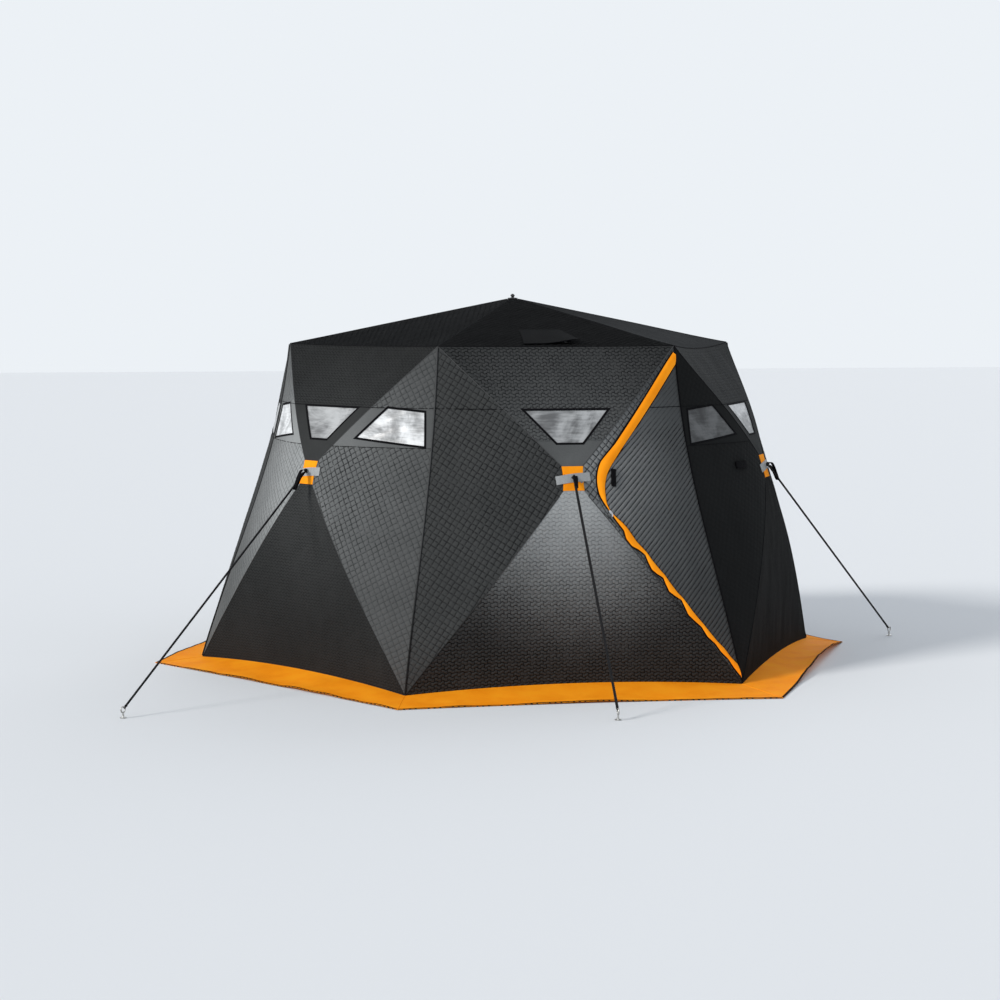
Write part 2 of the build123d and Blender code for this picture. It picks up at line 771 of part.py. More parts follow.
def anchor(wall):
    """The part of a screwed ice anchor that stands above the ice: flange, shank and ring."""
    ring_centre = anchor_ring_centre(wall)
    pull = knot_centre(wall) - ring_centre
    ring_plane = Plane(origin=ring_centre, x_dir=pull, z_dir=up.cross(pull))
    outline = RegularPolygon(anchor_ring_radius + anchor_ring_bar, bar_sides, False, rotation=ring_turn)
    opening = RegularPolygon(anchor_ring_radius - anchor_ring_bar, bar_sides, False, rotation=ring_turn)
    ring = ring_plane * extrude(outline - opening, amount=anchor_ring_bar, both=True)
    foot = Pos(ring_centre.X, ring_centre.Y, 0)
    shank = foot * bar(anchor_shank_radius, ring_centre.Z - anchor_ring_radius)
    flange = foot * bar(anchor_flange_radius, anchor_flange_thickness, disc_sides)
    return ring + shank + flange


def guy_rope(wall):
    """A taut rope from a hub's knot to a small knot at its anchor's ring."""
    ring_centre = anchor_ring_centre(wall)
    start = knot_centre(wall)
    pull = (start - ring_centre).normalized()
    knot = ring_centre + pull * (anchor_ring_radius + anchor_ring_bar + rope_knot_radius + seat_gap)
    room = Rot(0, 0, side_turn * wall_names.index(wall)) * knot_room
    return rod(knot, start, rope_radius) - room + Plane(origin=knot, z_dir=pull) * knob(rope_knot_radius)


for number, name in enumerate(wall_names):
    glazed = name in walls_with_side_windows
    if name == "front":
        side_panels = [left_panel, door_surround]
    elif glazed:
        side_panels = [glazed_left_panel, glazed_right_panel]
    else:
        side_panels = [left_panel, right_panel]
    panels = [top_panel, bottom_panel] + side_panels
    windows = sheets if glazed else sheets[:1]
    turn = Rot(0, 0, side_turn * number)
    save([turn * panel for panel in panels], name + "_wall")
    save([turn * window for window in windows], name + "_windows")
    save([turn * solid for solid in wall_poles], name + "_poles")

save([door_flap], "door_flap")
save([zip_band], "door_zip_band")
save([zip_slider], "door_zip_slider")
save([tie_tab], "door_tie_tab")
save(around(tie_pad, [1]), "door_tie_pad")
save(around(corner_welt), "corner_welts")
save([front_roof_side] + around(roof_side, range(1, side_count)), "roof_canopy")
save([vent_flap, vent_gusset], "roof_vent_flap")
save([vent_screen], "roof_vent_screen")
save([peak_cap], "roof_peak_cap")
save([roof_hub_solid], "roof_hub")
save(around(roof_pole), "roof_poles")
save(around(wall_hub_solid), "wall_hubs")
save([copy for solid in wall_ferrules + [roof_ferrule] for copy in around(solid)], "pole_ferrules")
save(around(eave_bracket), "eave_brackets")
save(around(foot_bracket), "foot_brackets")
save(around(hub_patch), "hub_patches")
save(around(hub_strap), "hub_straps")
save(around(hub_knot), "hub_knots")
save(around(pull_loop), "hub_pull_loops")
save(around(skirt_side), "snow_skirt")
save(around(skirt_hem), "skirt_hem")
save([guy_rope(wall) for wall in anchor_places], "guy_ropes")
save([anchor(wall) for wall in anchor_places], "ice_anchors")
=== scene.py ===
# Six sided pop-up ice fishing hut. Its quilted cloth is pushed out by sprung poles that spread from hubs.
# Metres throughout, in the frame of the CAD model: origin on the ice under the peak, door in the front at -Y.
import math
import bmesh
import bpy
import numpy as np
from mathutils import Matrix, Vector, noise


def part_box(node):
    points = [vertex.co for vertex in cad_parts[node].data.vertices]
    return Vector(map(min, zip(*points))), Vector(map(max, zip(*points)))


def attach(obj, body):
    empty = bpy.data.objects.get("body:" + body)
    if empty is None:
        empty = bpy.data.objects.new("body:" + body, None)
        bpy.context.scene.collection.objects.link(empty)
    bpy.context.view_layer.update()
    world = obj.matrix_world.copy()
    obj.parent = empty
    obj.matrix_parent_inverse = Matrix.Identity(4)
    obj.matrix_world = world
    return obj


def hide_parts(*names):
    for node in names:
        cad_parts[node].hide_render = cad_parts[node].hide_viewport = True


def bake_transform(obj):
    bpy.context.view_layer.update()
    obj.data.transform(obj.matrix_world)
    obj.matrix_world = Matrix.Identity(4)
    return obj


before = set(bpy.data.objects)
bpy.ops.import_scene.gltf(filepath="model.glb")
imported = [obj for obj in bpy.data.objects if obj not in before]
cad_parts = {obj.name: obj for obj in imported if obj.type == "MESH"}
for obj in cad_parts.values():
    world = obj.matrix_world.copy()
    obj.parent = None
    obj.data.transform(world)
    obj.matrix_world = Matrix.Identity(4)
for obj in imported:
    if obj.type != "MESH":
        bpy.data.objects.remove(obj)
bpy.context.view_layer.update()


# Studio: a pale floor, a soft key lamp from the left, a weak lamp behind, and the camera where the photo
# was taken.
camera_place = (-2.943, -13.573, 2.052)
camera_turn = math.radians(11.925)
camera_pitch = math.radians(4.755)
camera_lens = 83.94

camera = bpy.data.objects.new("camera", bpy.data.cameras.new("camera"))
camera.data.lens = camera_lens
camera.data.sensor_width = 36.0
camera.location = camera_place
camera.rotation_euler = (math.pi / 2 - camera_pitch, 0.0, -camera_turn)
bpy.context.collection.objects.link(camera)
bpy.context.scene.camera = camera
bpy.context.scene.view_settings.view_transform = "Standard"


def lamp(name, toward, strength, spread, colour):
    """A broad even light from one direction."""
    light = bpy.data.lights.new(name, "SUN")
    light.energy = strength
    light.angle = math.radians(spread)
    light.color = colour
    holder = bpy.data.objects.new(name, light)
    holder.location = Vector(toward) * 8.0
    holder.rotation_euler = (-Vector(toward)).to_track_quat("-Z", "Y").to_euler()
    bpy.context.collection.objects.link(holder)


lamp("key_lamp", (-0.82, -0.3, 0.5), 2.3, 14.0, (1.0, 0.975, 0.94))
lamp("rear_lamp", (0.5, 0.75, 0.5), 0.6, 40.0, (0.93, 0.96, 1.0))


class Wire:
    """A socket in a material, on which sums are written with the ordinary signs."""

    def __init__(self, tree, socket=None):
        self.tree = tree
        self.socket = socket

    def node(self, kind, settings, inputs, output=0):
        """Add a node: its settings first, then the values or wires of its sockets."""
        made = self.tree.nodes.new(kind)
        for key, value in settings.items():
            if key == "stops":
                while len(made.color_ramp.elements) < len(value):
                    made.color_ramp.elements.new(0.5)
                for element, (place, colour) in zip(made.color_ramp.elements, value):
                    element.position = place
                    element.color = colour
            else:
                setattr(made, key, value)
        for key, value in inputs.items():
            if isinstance(value, Wire):
                self.tree.links.new(value.socket, made.inputs[key])
            else:
                made.inputs[key].default_value = value
        return Wire(self.tree, made.outputs[output])

    def maths(self, operation, first, second=0.0, clamp=False):
        settings = {"operation": operation, "use_clamp": clamp}
        return self.node("ShaderNodeMath", settings, {0: first, 1: second})

    def __add__(self, other):
        return self.maths("ADD", self, other)

    __radd__ = __add__

    def __sub__(self, other):
        return self.maths("SUBTRACT", self, other)

    def __rsub__(self, other):
        return self.maths("SUBTRACT", other, self)

    def __mul__(self, other):
        return self.maths("MULTIPLY", self, other)

    __rmul__ = __mul__

    def __truediv__(self, other):
        return self.maths("DIVIDE", self, other)

    def __rtruediv__(self, other):
        return self.maths("DIVIDE", other, self)

    def __pow__(self, other):
        return self.maths("POWER", self, other)

    def between(self, low, high):
        """This value's way from low to high, held between 0 and 1."""
        settings = {"interpolation_type": "SMOOTHSTEP"}
        return self.node("ShaderNodeMapRange", settings, {0: self, 1: low, 2: high, 3: 0.0, 4: 1.0})

    def blend(self, first, second):
        """Two colours mixed by this value."""
        settings = {"data_type": "RGBA"}
        return self.node("ShaderNodeMix", settings, {"Factor": self, 6: first, 7: second}, 2)

    def dimmed(self, share):
        """This colour times a value."""
        return self.node("ShaderNodeVectorMath", {"operation": "SCALE"}, {0: self, "Scale": share})

    def part(self, number):
        """One of the three numbers of this vector."""
        return self.node("ShaderNodeSeparateXYZ", {}, {0: self}, number)

    def marked(self, title, output="Fac"):
        """What a mesh says of its points under a title."""
        return self.node("ShaderNodeAttribute", {"attribute_name": title}, {}, output)


def finish(name):
    """A new material: its first wire, its Principled shader, and object coordinates."""
    material = bpy.data.materials.new(name)
    material.use_nodes = True
    tree = material.node_tree
    shader = tree.nodes["Principled BSDF"]
    start = Wire(tree)
    place = start.node("ShaderNodeTexCoord", {}, {}, "Object")
    return material, start, shader, place


def feed(start, shader, links):
    """Join wires, or set plain values, on the sockets of a shader."""
    for key, value in links.items():
        if isinstance(value, Wire):
            start.tree.links.new(value.socket, shader.inputs[key])
        else:
            shader.inputs[key].default_value = value


def grain(start, place, scale, detail=2.0, roughness=0.5):
    """Cloudy noise at a scale per metre."""
    inputs = {"Vector": place, "Scale": scale, "Detail": detail, "Roughness": roughness}
    return start.node("ShaderNodeTexNoise", {}, inputs)


def bumped(start, height, depth, strength=1.0, under=None):
    """The normal of a bump of that height and depth in metres."""
    inputs = {"Height": height, "Distance": depth, "Strength": strength}
    if under is not None:
        inputs["Normal"] = under
    return start.node("ShaderNodeBump", {}, inputs)


floor_material, floor_start, floor_shader = finish("floor_pale")[:3]
feed(floor_start, floor_shader, {"Base Color": (0.77, 0.79, 0.81, 1.0), "Roughness": 0.9})
floor_mesh = bpy.data.meshes.new("floor")
floor_reach = 60
floor_corners = [(x * floor_reach, y * floor_reach, 0) for x, y in ((-1, -1), (1, -1), (1, 1), (-1, 1))]
floor_mesh.from_pydata(floor_corners, [], [(0, 1, 2, 3)])
floor = bpy.data.objects.new("floor", floor_mesh)
floor_mesh.materials.append(floor_material)
bpy.context.collection.objects.link(floor)

world = bpy.data.worlds.new("world")
world.use_nodes = True
bpy.context.scene.world = world
sky = Wire(world.node_tree)
ray_kinds = ("Is Camera Ray", "Is Glossy Ray", "Is Transmission Ray")
camera_ray, glossy_ray, passed_ray = [sky.node("ShaderNodeLightPath", {}, {}, kind) for kind in ray_kinds]
seen = sky.maths("ADD", camera_ray + glossy_ray, passed_ray, True)
ambient = sky.node("ShaderNodeBackground", {}, {"Color": (0.88, 0.93, 1.0, 1.0), "Strength": 0.56})
backdrop = sky.node("ShaderNodeBackground", {}, {"Color": (0.84, 0.88, 0.92, 1.0), "Strength": 1.0})
shown = sky.node("ShaderNodeMixShader", {}, {0: seen, 1: ambient, 2: backdrop})
world.node_tree.links.new(shown.socket, world.node_tree.nodes["World Output"].inputs["Surface"])


# Wall and roof panels: two cloths with wadding between, stitched in small squares, six millimetres thick.
# Each is cut to its own triangle and sewn to its neighbours, and the cloth is drawn taut over the hubs.
wall_names = ["front", "front_right", "rear_right", "rear", "rear_left", "front_left"]
windowed_walls = ("front_right", "rear_right", "rear_left", "front_left")
peak_height = 2.1
eave_height = 1.835
eave_corner = 1.325
ground_corner = 1.855
edge_height = 0.008
edge_rise = 0.036
edge_rise_reach = 0.45
wall_rise = eave_height - edge_height
cloth = 0.006
quilt_cell = 0.031
finest_cell = 0.024
front_steps = 3
rear_steps = 2
lining_reach = 0.17
lining_passes = 6
door_lining_reach = 0.035
quilt_swell = 0.0042
wave_height = 0.0045
eave_sags = {
    "front": 0.004, "front_right": 0.026, "rear_right": 0.02, "rear": 0.012, "rear_left": 0.014,
    "front_left": 0.006,
}
roof_sag_reach = 0.55
wall_sag_reach = 0.5
lower_push = 0.04
upper_push = 0.028
corner_pull = 0.06
band_top = 1.5
band_foot = 1.285
front_band_foot = 1.335


def corner(side, height):
    """A point of the front wall's left (-1) or right (+1) corner line."""
    reach = ground_corner - (ground_corner - eave_corner) * height / eave_height
    return Vector((side * reach * 0.5, -reach * math.sqrt(0.75), height))


hub = Vector((0.0, -1.524, 1.139))
peak = Vector((0.0, 0.0, peak_height))
top_left, top_right = corner(-1, eave_height), corner(1, eave_height)
low_left, low_right = corner(-1, edge_height), corner(1, edge_height)
half_eave = top_right.x
half_foot = low_right.x
eave_out = -top_right.y
corners_of = {
    "top": [hub, top_right, top_left],
    "right": [hub, low_right, top_right],
    "bottom": [hub, low_left, low_right],
    "left": [hub, top_left, low_left],
    "roof": [peak, top_left, top_right],
}


def sprung(across, height):
    """How sprung poles push the front wall's cloth out, and draw its corner lines in between them."""
    corner_line = half_foot + (half_eave - half_foot) * (height - edge_height) / wall_rise
    hub_line = half_foot + (half_eave - half_foot) * (hub.z - edge_height) / wall_rise
    away = np.clip(1.0 - (corner_line - np.abs(across)) / hub_line, 0.0, 1.0)
    share = (hub.z + (height - hub.z) / np.maximum(away, 0.001) - edge_height) / wall_rise
    away = np.where(share > 1.0, (height - hub.z) / (eave_height - hub.z), away)
    away = np.where(share < 0.0, (hub.z - height) / (hub.z - edge_height), away)
    away, share = np.clip(away, 0.0, 1.0), np.clip(share, 0.0, 1.0)
    push = (lower_push + (upper_push - lower_push) * share) * np.sin(math.pi * away ** 0.8)
    pull = corner_pull * np.sin(math.pi * share ** 1.6) * away ** 2
    return np.stack([-0.5 * pull * np.sign(across), math.sqrt(0.75) * pull - push, 0.0 * push], axis=1)


def settled(points, wall, on_roof=False):
    """Points of the front side moved to where its poles, its eave's sag and the ice hold the cloth."""
    moved = np.array(points, dtype=float)
    across, outward, height = moved[:, 0], -moved[:, 1], moved[:, 2]
    if on_roof:
        below = np.clip((eave_out - outward) / roof_sag_reach, 0.0, 1.0)
    else:
        below = np.clip((eave_height - height) / wall_sag_reach, 0.0, 1.0)
    middle = np.clip(1.0 - (across / half_eave) ** 2, 0.0, 1.0)
    sag = eave_sags[wall] * middle * (1.0 - below) ** 2
    moved[:, 2] -= sag
    moved[:, 1] += 0.5 * sag
    if not on_roof:
        above = np.clip((height - edge_height) / edge_rise_reach, 0.0, 1.0)
        spread = np.clip(1.0 - (across / half_foot) ** 2, 0.0, 1.0)
        moved += sprung(across, height)
        moved[:, 2] += edge_rise * spread * (1.0 - above) ** 2
    return turned(moved, wall)


def settled_grid(grid, wall, on_roof=False):
    """A grid of points, moved in the same way."""
    grid = np.asarray(grid, dtype=float)
    return settled(grid.reshape(-1, 3), wall, on_roof).reshape(grid.shape)


def turned(points, wall):
    """Points of the front side carried round to another wall."""
    angle = math.radians(60.0) * wall_names.index(wall)
    spin = np.array([
        [math.cos(angle), -math.sin(angle), 0.0],
        [math.sin(angle), math.cos(angle), 0.0],
        [0.0, 0.0, 1.0],
    ])
    return np.asarray(points, dtype=float) @ spin.T


def step(values, low, high):
    """A smooth rise from 0 to 1 between two values."""
    share = np.clip((values - low) / (high - low), 0.0, 1.0)
    return share * share * (3.0 - 2.0 * share)


class Flat:
    """The plane of a panel, with its level and rising directions."""

    def __init__(self, corners):
        self.origin = corners[0]
        self.normal = (corners[1] - corners[0]).cross(corners[2] - corners[0]).normalized()
        self.level = Vector((0.0, 0.0, 1.0)).cross(self.normal).normalized()
        self.rise = self.normal.cross(self.level)

    def at(self, across, height):
        """The point at a place across the wall and a height."""
        lift = (height - self.origin.z) / self.rise.z
        slide = (across - self.origin.x - lift * self.rise.x) / self.level.x
        return self.origin + self.level * slide + self.rise * lift


flats = {kind: Flat(corners) for kind, corners in corners_of.items()}


def edge_distances(points, outline, normal):
    """How far points lie inside each edge of an anticlockwise outline."""
    found = []
    for i, first in enumerate(outline):
        second = outline[(i + 1) % len(outline)]
        inward = np.array(normal.cross(second - first).normalized())
        found.append((points - np.array(first)) @ inward)
    return np.array(found)


def cut_panel(flat, outline, angle, holes, pitch, reach_inside):
    """A flat closed panel: a grid along the quilting on its face, cut to its outline, with plain lining."""
    level, rise, normal = flat.level, flat.rise, flat.normal
    along = level * math.cos(angle) + rise * math.sin(angle)
    beside = rise * math.cos(angle) - level * math.sin(angle)
    spots = np.array([[(p - flat.origin).dot(along), (p - flat.origin).dot(beside)] for p in outline])
    first = np.floor(spots.min(axis=0) / pitch).astype(int) - 1
    last = np.ceil(spots.max(axis=0) / pitch).astype(int) + 1
    columns, rows = last - first + 1
    grid = np.stack(np.meshgrid(np.arange(columns), np.arange(rows), indexing="ij"), axis=-1).reshape(-1, 2)
    spread = (grid + first) * pitch
    points = np.array(flat.origin) + spread[:, :1] * np.array(along) + spread[:, 1:] * np.array(beside)
    inside = edge_distances(points, outline, normal).min(axis=0) > -1.6 * pitch
    number = -np.ones(len(points), dtype=int)
    number[inside] = np.arange(inside.sum())
    starts = (np.arange(columns - 1)[:, None] * rows + np.arange(rows - 1)[None, :]).reshape(-1)
    squares = number[np.stack([starts, starts + rows, starts + rows + 1, starts + 1], axis=1)]
    squares = squares[(squares >= 0).all(axis=1)]
    mesh = bpy.data.meshes.new("cut")
    mesh.from_pydata(points[inside].tolist(), [], squares.tolist())
    panel = bmesh.new()
    panel.from_mesh(mesh)
    bpy.data.meshes.remove(mesh)
    for i, start in enumerate(outline):
        outward = (outline[(i + 1) % len(outline)] - start).cross(normal)
        geometry = panel.verts[:] + panel.edges[:] + panel.faces[:]
        bmesh.ops.bisect_plane(
            panel, geom=geometry, dist=1e-5, plane_co=start, plane_no=outward, clear_outer=True
        )
    for hole in holes:
        middle = sum(hole, Vector()) / len(hole)
        reach = max((p - middle).length for p in hole) + 2 * pitch
        for i, start in enumerate(hole):
            outward = (hole[(i + 1) % len(hole)] - start).cross(normal)
            faces = [f for f in panel.faces if (f.calc_center_median() - middle).length < reach]
            verts = list({v for f in faces for v in f.verts})
            edges = list({e for f in faces for e in f.edges})
            bmesh.ops.bisect_plane(
                panel, geom=verts + edges + faces, dist=1e-5, plane_co=start, plane_no=outward
            )
        centres = np.array([f.calc_center_median() for f in panel.faces])
        within = edge_distances(centres, hole, normal).min(axis=0) > 0
        gone = [f for f, inner in zip(panel.faces[:], within) if inner]
        bmesh.ops.delete(panel, geom=gone, context="FACES")
    rim = [e for e in panel.edges if e.is_boundary]
    area = sum(f.calc_area() for f in panel.faces) + sum(e.calc_length() for e in rim) * cloth / 2
    made = bmesh.ops.extrude_edge_only(panel, edges=rim)["geom"]
    lowered = [g for g in made if isinstance(g, bmesh.types.BMVert)]
    bmesh.ops.translate(panel, verts=lowered, vec=normal * -cloth)
    inner_rim = [g for g in made if isinstance(g, bmesh.types.BMEdge) and g.is_boundary]
    bmesh.ops.triangle_fill(panel, use_beauty=True, use_dissolve=False, edges=inner_rim, normal=-normal)
    for _ in range(lining_passes):
        lengthy = [e for e in panel.edges if e.calc_length() > reach_inside]
        bmesh.ops.subdivide_edges(panel, edges=lengthy, cuts=1)
    return panel, along, beside, area


# How each panel looks: how pale its cloth is, which is painted light and shade, paler where painted sunlight
# and sheen fall and darker where painted shade falls, and how plain its stitch lines are, each by the hub and
# far from it, and how full the poles' pull leaves it between them
panel_looks = {
    ("front", "bottom"): (7.4, 0.72, 0.25, 1.0, 1.0), ("front", "left"): (0.95, 0.95, 0.7, 0.5, 0.9),
    ("front", "top"): (2.0, 0.75, 0.7, 0.9, 1.0), ("front", "right"): (4.2, 1.5, 0.9, 0.8, 1.0),
    ("front_left", "left"): (6.5, 2.4, 0.4, 0.3, 0.8), ("front_left", "right"): (3.2, 1.55, 0.9, 0.3, 0.9),
    ("front_left", "top"): (0.8, 0.47, 0.6, 0.6, 0.7), ("front_left", "bottom"): (0.9, 0.5, 0.5, 0.6, 0.7),
    ("front_right", "left"): (0.35, 0.28, 0.2, 0.1, 0.35), ("front_right", "top"): (0.6, 0.5, 0.3, 0.2, 0.4),
    ("front_right", "bottom"): (0.14, 0.12, 0.2, 0.1, 0.35),
    ("front_right", "right"): (0.5, 0.45, 0.3, 0.2, 0.5),
    ("front", "roof"): (0.6, 0.5, 0.8, 0.5, 0.8), ("front_left", "roof"): (0.95, 0.8, 1.0, 1.0, 1.0),
    ("front_right", "roof"): (0.8, 2.2, 0.3, 0.2, 0.6),
}
plain_look = (1.0, 0.8, 0.5, 0.3, 0.7)
panel_blend_reach = 1.05


def panel_look(wall, kind, points):
    """How pale a panel's cloth is at its points, in painted light and shade, how strong its stitch lines are
    there, and how full it is.
    """
    near, far, near_lines, far_lines, fullness = panel_looks.get((wall, kind), plain_look)
    middle = peak if kind == "roof" else hub
    away = step(np.linalg.norm(points - np.array(middle), axis=1), 0.1, panel_blend_reach)
    return near + (far - near) * away ** 0.7, near_lines + (far_lines - near_lines) * away, fullness


def mark_cloth(mesh, tone, lines, brick, quilt):
    """Write what a panel's cloth looks like at its points, for its material to read."""
    for title, values in (("tone", tone), ("lines", lines), ("brick", brick)):
        layer = mesh.attributes.new(title, "FLOAT", "POINT")
        layer.data.foreach_set("value", np.broadcast_to(values, len(mesh.vertices)).astype(float))
    layer = mesh.attributes.new("quilt", "FLOAT_VECTOR", "POINT")
    layer.data.foreach_set("vector", quilt.reshape(-1))


def hinged(made):
    """A piece of the door, with its place baked into its points."""
    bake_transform(made)


def quilted(name, wall, kind, body, material, slot, outline=None, angle=0.0, holes=(), plain=None, seed=0,
            length_way=None, ridge=1.0, cell=quilt_cell, brick=0.0):
    """One sewn panel, puffed between its stitches, with the cloth's slow waves, as a piece on its body, or
    with its place baked in for the door.

    The stitching runs at an angle, in squares of a cell's size. A ridge lengthens them, without one the
    stitch lines run one way only, and brick sets their rows off as bricks lie.
    """
    flat = flats[kind]
    outline = outline or corners_of[kind]
    steps = front_steps if wall.startswith("front") else rear_steps
    reach = door_lining_reach if body == "door" else lining_reach
    panel, along, beside, area = cut_panel(flat, outline, angle, holes, max(cell, finest_cell) / steps, reach)
    bmesh.ops.recalc_face_normals(panel, faces=panel.faces[:])
    mesh = bpy.data.meshes.new(name)
    panel.to_mesh(mesh)
    panel.free()
    count = len(mesh.vertices)
    points = np.zeros(count * 3)
    mesh.vertices.foreach_get("co", points)
    points = points.reshape(-1, 3)
    offset = points - np.array(flat.origin)
    a = offset @ np.array(along) / cell / ridge if ridge else np.full(count, 0.5)
    b = offset @ np.array(beside) / cell
    outer = offset @ np.array(flat.normal) > -cloth / 2
    seam = edge_distances(points, corners_of[kind], flat.normal).min(axis=0)
    edge = np.minimum(seam, edge_distances(points, outline, flat.normal).min(axis=0))
    for hole in holes:
        edge = np.minimum(edge, -edge_distances(points, hole, flat.normal).min(axis=0))
    smooth = np.zeros(count) if plain is None else plain(points)
    stitched = (1.0 - smooth) * step(edge, 0.004, 0.02)
    pillow = (np.abs(np.sin(np.pi * a)) * np.abs(np.sin(np.pi * b))) ** 0.45
    slow = np.array([
        noise.noise((p[0] * 5.0 + seed * 7.3, p[1] * 5.0, p[2] * 2.2))
        + 0.5 * noise.noise((p[0] * 13.0, p[1] * 13.0 + seed * 3.1, p[2] * 5.0))
        for p in points.tolist()
    ])
    waves = wave_height * np.clip(slow, -0.7, 1.0) * step(edge, 0.0, 0.09)
    tone, lines, fullness = panel_look(wall, kind, points)
    fullness *= 1.0 - 0.8 * brick
    lift = np.where(outer, quilt_swell * fullness * pillow * stitched + waves, 0.0)
    points = points + lift[:, None] * np.array(flat.normal)
    points = settled(points, wall, kind == "roof")
    mesh.vertices.foreach_set("co", points.reshape(-1))
    mark_cloth(mesh, tone, lines, brick, np.stack([a, b, smooth], axis=1))
    mesh.set_sharp_from_angle(angle=math.radians(50.0))
    mesh.polygons.foreach_set("use_smooth", [True] * len(mesh.polygons))
    made = bpy.data.objects.new(name, mesh)
    mesh.materials.append(material)
    bpy.context.collection.objects.link(made)
    length_way = np.array(length_way or flat.rise)
    length = np.ptp(offset @ length_way)
    if body == "door":
        hinged(made)
    else:
        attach(made, body)
    return made


def quilt_cloth(name, light, dark, rough, gloss):
    """Wadded cloth: a fine woven face, dark stitch lines with sunk stitches and painted shade in their
    valleys, pale painted glints along the thread, dusty patches, and a marked tone of painted light and
    shade.
    """
    material, start, shader, place = finish(name)
    quilt = start.marked("quilt", "Vector")
    wobble = grain(start, place, 24.0, 2.0)
    faint = grain(start, place, 11.0, 3.0, 0.7).between(0.3, 0.62)
    broken = grain(start, place, 85.0, 2.0, 0.6).between(0.4, 0.56)
    line_way = start.marked("lines")
    brick = start.marked("brick")
    a = quilt.part(0) + (wobble - 0.5) * 0.3
    b = quilt.part(1) - (wobble - 0.5) * 0.3
    b = b + start.maths("SINE", a * (2.0 * math.pi)) * 0.2 * brick
    a = a + start.maths("FLOOR", b) * 0.5 * brick
    smooth = quilt.part(2)
    across = start.maths("ABSOLUTE", start.maths("SINE", a * math.pi))
    beside = start.maths("ABSOLUTE", start.maths("SINE", b * math.pi))
    sewn = 1.0 - smooth
    line = start.maths("MINIMUM", across + brick * 0.12, beside)
    valley = (1.0 - line.between(0.0, 0.5)) * sewn * line_way * (0.15 + faint * 0.4 + broken * 0.8)
    puff = start.maths("SQRT", across * beside) * sewn * (0.4 + faint * 0.3 + broken * 0.3)
    dashes = start.maths("SINE", (a + b) * (math.pi * 14.0)).between(-0.1, 0.1)
    thread = (1.0 - line.between(0.02, 0.1)) * dashes * sewn
    mottle = grain(start, place, 2.3, 4.0, 0.6)
    fleck = grain(start, place, 260.0, 2.0)
    dust = grain(start, place, 9.0, 3.0, 0.65).between(0.52, 0.78)
    body_colour = mottle.between(0.25, 0.75).blend(dark, light)
    dusty = (dust * 0.04).blend(body_colour, (0.12, 0.124, 0.124, 1.0))
    flecked = (fleck.between(0.35, 0.7) * 0.28).blend(dusty, (0.03, 0.032, 0.034, 1.0))
    # Painted glints: pale dashes along the thread stand in for highlights on it
    glinting = (thread * line_way * broken * 0.14).blend(flecked, (0.18, 0.185, 0.19, 1.0))
    # Stitch valleys darkened almost to black: partly the dark stitch lines, partly painted shade in the
    # hollows between puffs
    painted_valley_shade = start.maths("MINIMUM", valley, 0.95).blend(glinting, (0.006, 0.0065, 0.007, 1.0))
    weave = grain(start, place, 700.0, 1.0)
    crease = grain(start, place, 38.0, 3.0, 0.6)
    flow = start.node("ShaderNodeMapping", {}, {"Vector": place, "Scale": (30.0, 30.0, 85.0)})
    ripples = grain(start, flow, 1.0, 3.0, 0.6)
    relief = weave * 0.25 + crease * 1.1 + ripples * 2.2 * sewn - thread * 1.4 - valley * 0.9
    # Base colour dimmed by the marked tone: painted light and shade, set for each panel
    feed(start, shader, {
        "Base Color": painted_valley_shade.dimmed(start.marked("tone")),
        "Roughness": rough + mottle * 0.12,
        "Normal": bumped(start, relief, 0.0012, 0.9, bumped(start, puff * line_way, 0.006, 0.9)),
        "Specular IOR Level": gloss,
    })
    return material


wall_cloth = quilt_cloth("wall_cloth", (0.059, 0.061, 0.061, 1.0), (0.046, 0.048, 0.048, 1.0), 0.65, 0.025)
roof_cloth = quilt_cloth("roof_cloth", (0.0145, 0.015, 0.0155, 1.0), (0.0115, 0.012, 0.0125, 1.0), 0.75, 0.01)


# Window openings: cut low in the quilted walls, one in every top panel and two more in each side wall.
# The cloth round them is left plain, so that the film can be sewn in flat.
top_window = [(-0.072, 1.32), (0.072, 1.32), (0.232, 1.495), (-0.232, 1.495)]
side_window = [(0.29, 1.335), (0.7, 1.295), (0.66, 1.48), (0.445, 1.5)]


def window_outline(kind):
    """The corners of a panel's window, anticlockwise seen from outside."""
    flat = flats[kind]
    if kind == "top":
        return [flat.at(x, z) for x, z in top_window]
    if kind == "right":
        return [flat.at(x, z) for x, z in side_window]
    return [flat.at(-x, z) for x, z in reversed(side_window)]


def band_plain(points):
    """Panels with windows are plain cloth across the band of the windows."""
    return ((points[:, 2] < band_top) & (points[:, 2] > band_foot)).astype(float)


def tip_plain(foot):
    """The lower tip of a top panel is plain cloth."""
    return lambda points: (points[:, 2] < foot).astype(float)


# The door: a flap of the front wall's right panel, in the same wadded cloth. Its zip runs from the corner at
# its head, round a nose near the hub, down to its foot, and it stays sewn along the corner.
zip_top = (0.679, 1.776)
zip_nose = (0.091, 1.089)
zip_bottom = (0.919, 0.058)
zip_upper_width = 0.052
zip_lower_width = 0.038
zip_nose_radius = 0.225
nose_points = 13
door_head = 1.776
door_foot = 0.044
door_gap = 0.005
right_flat = flats["right"]


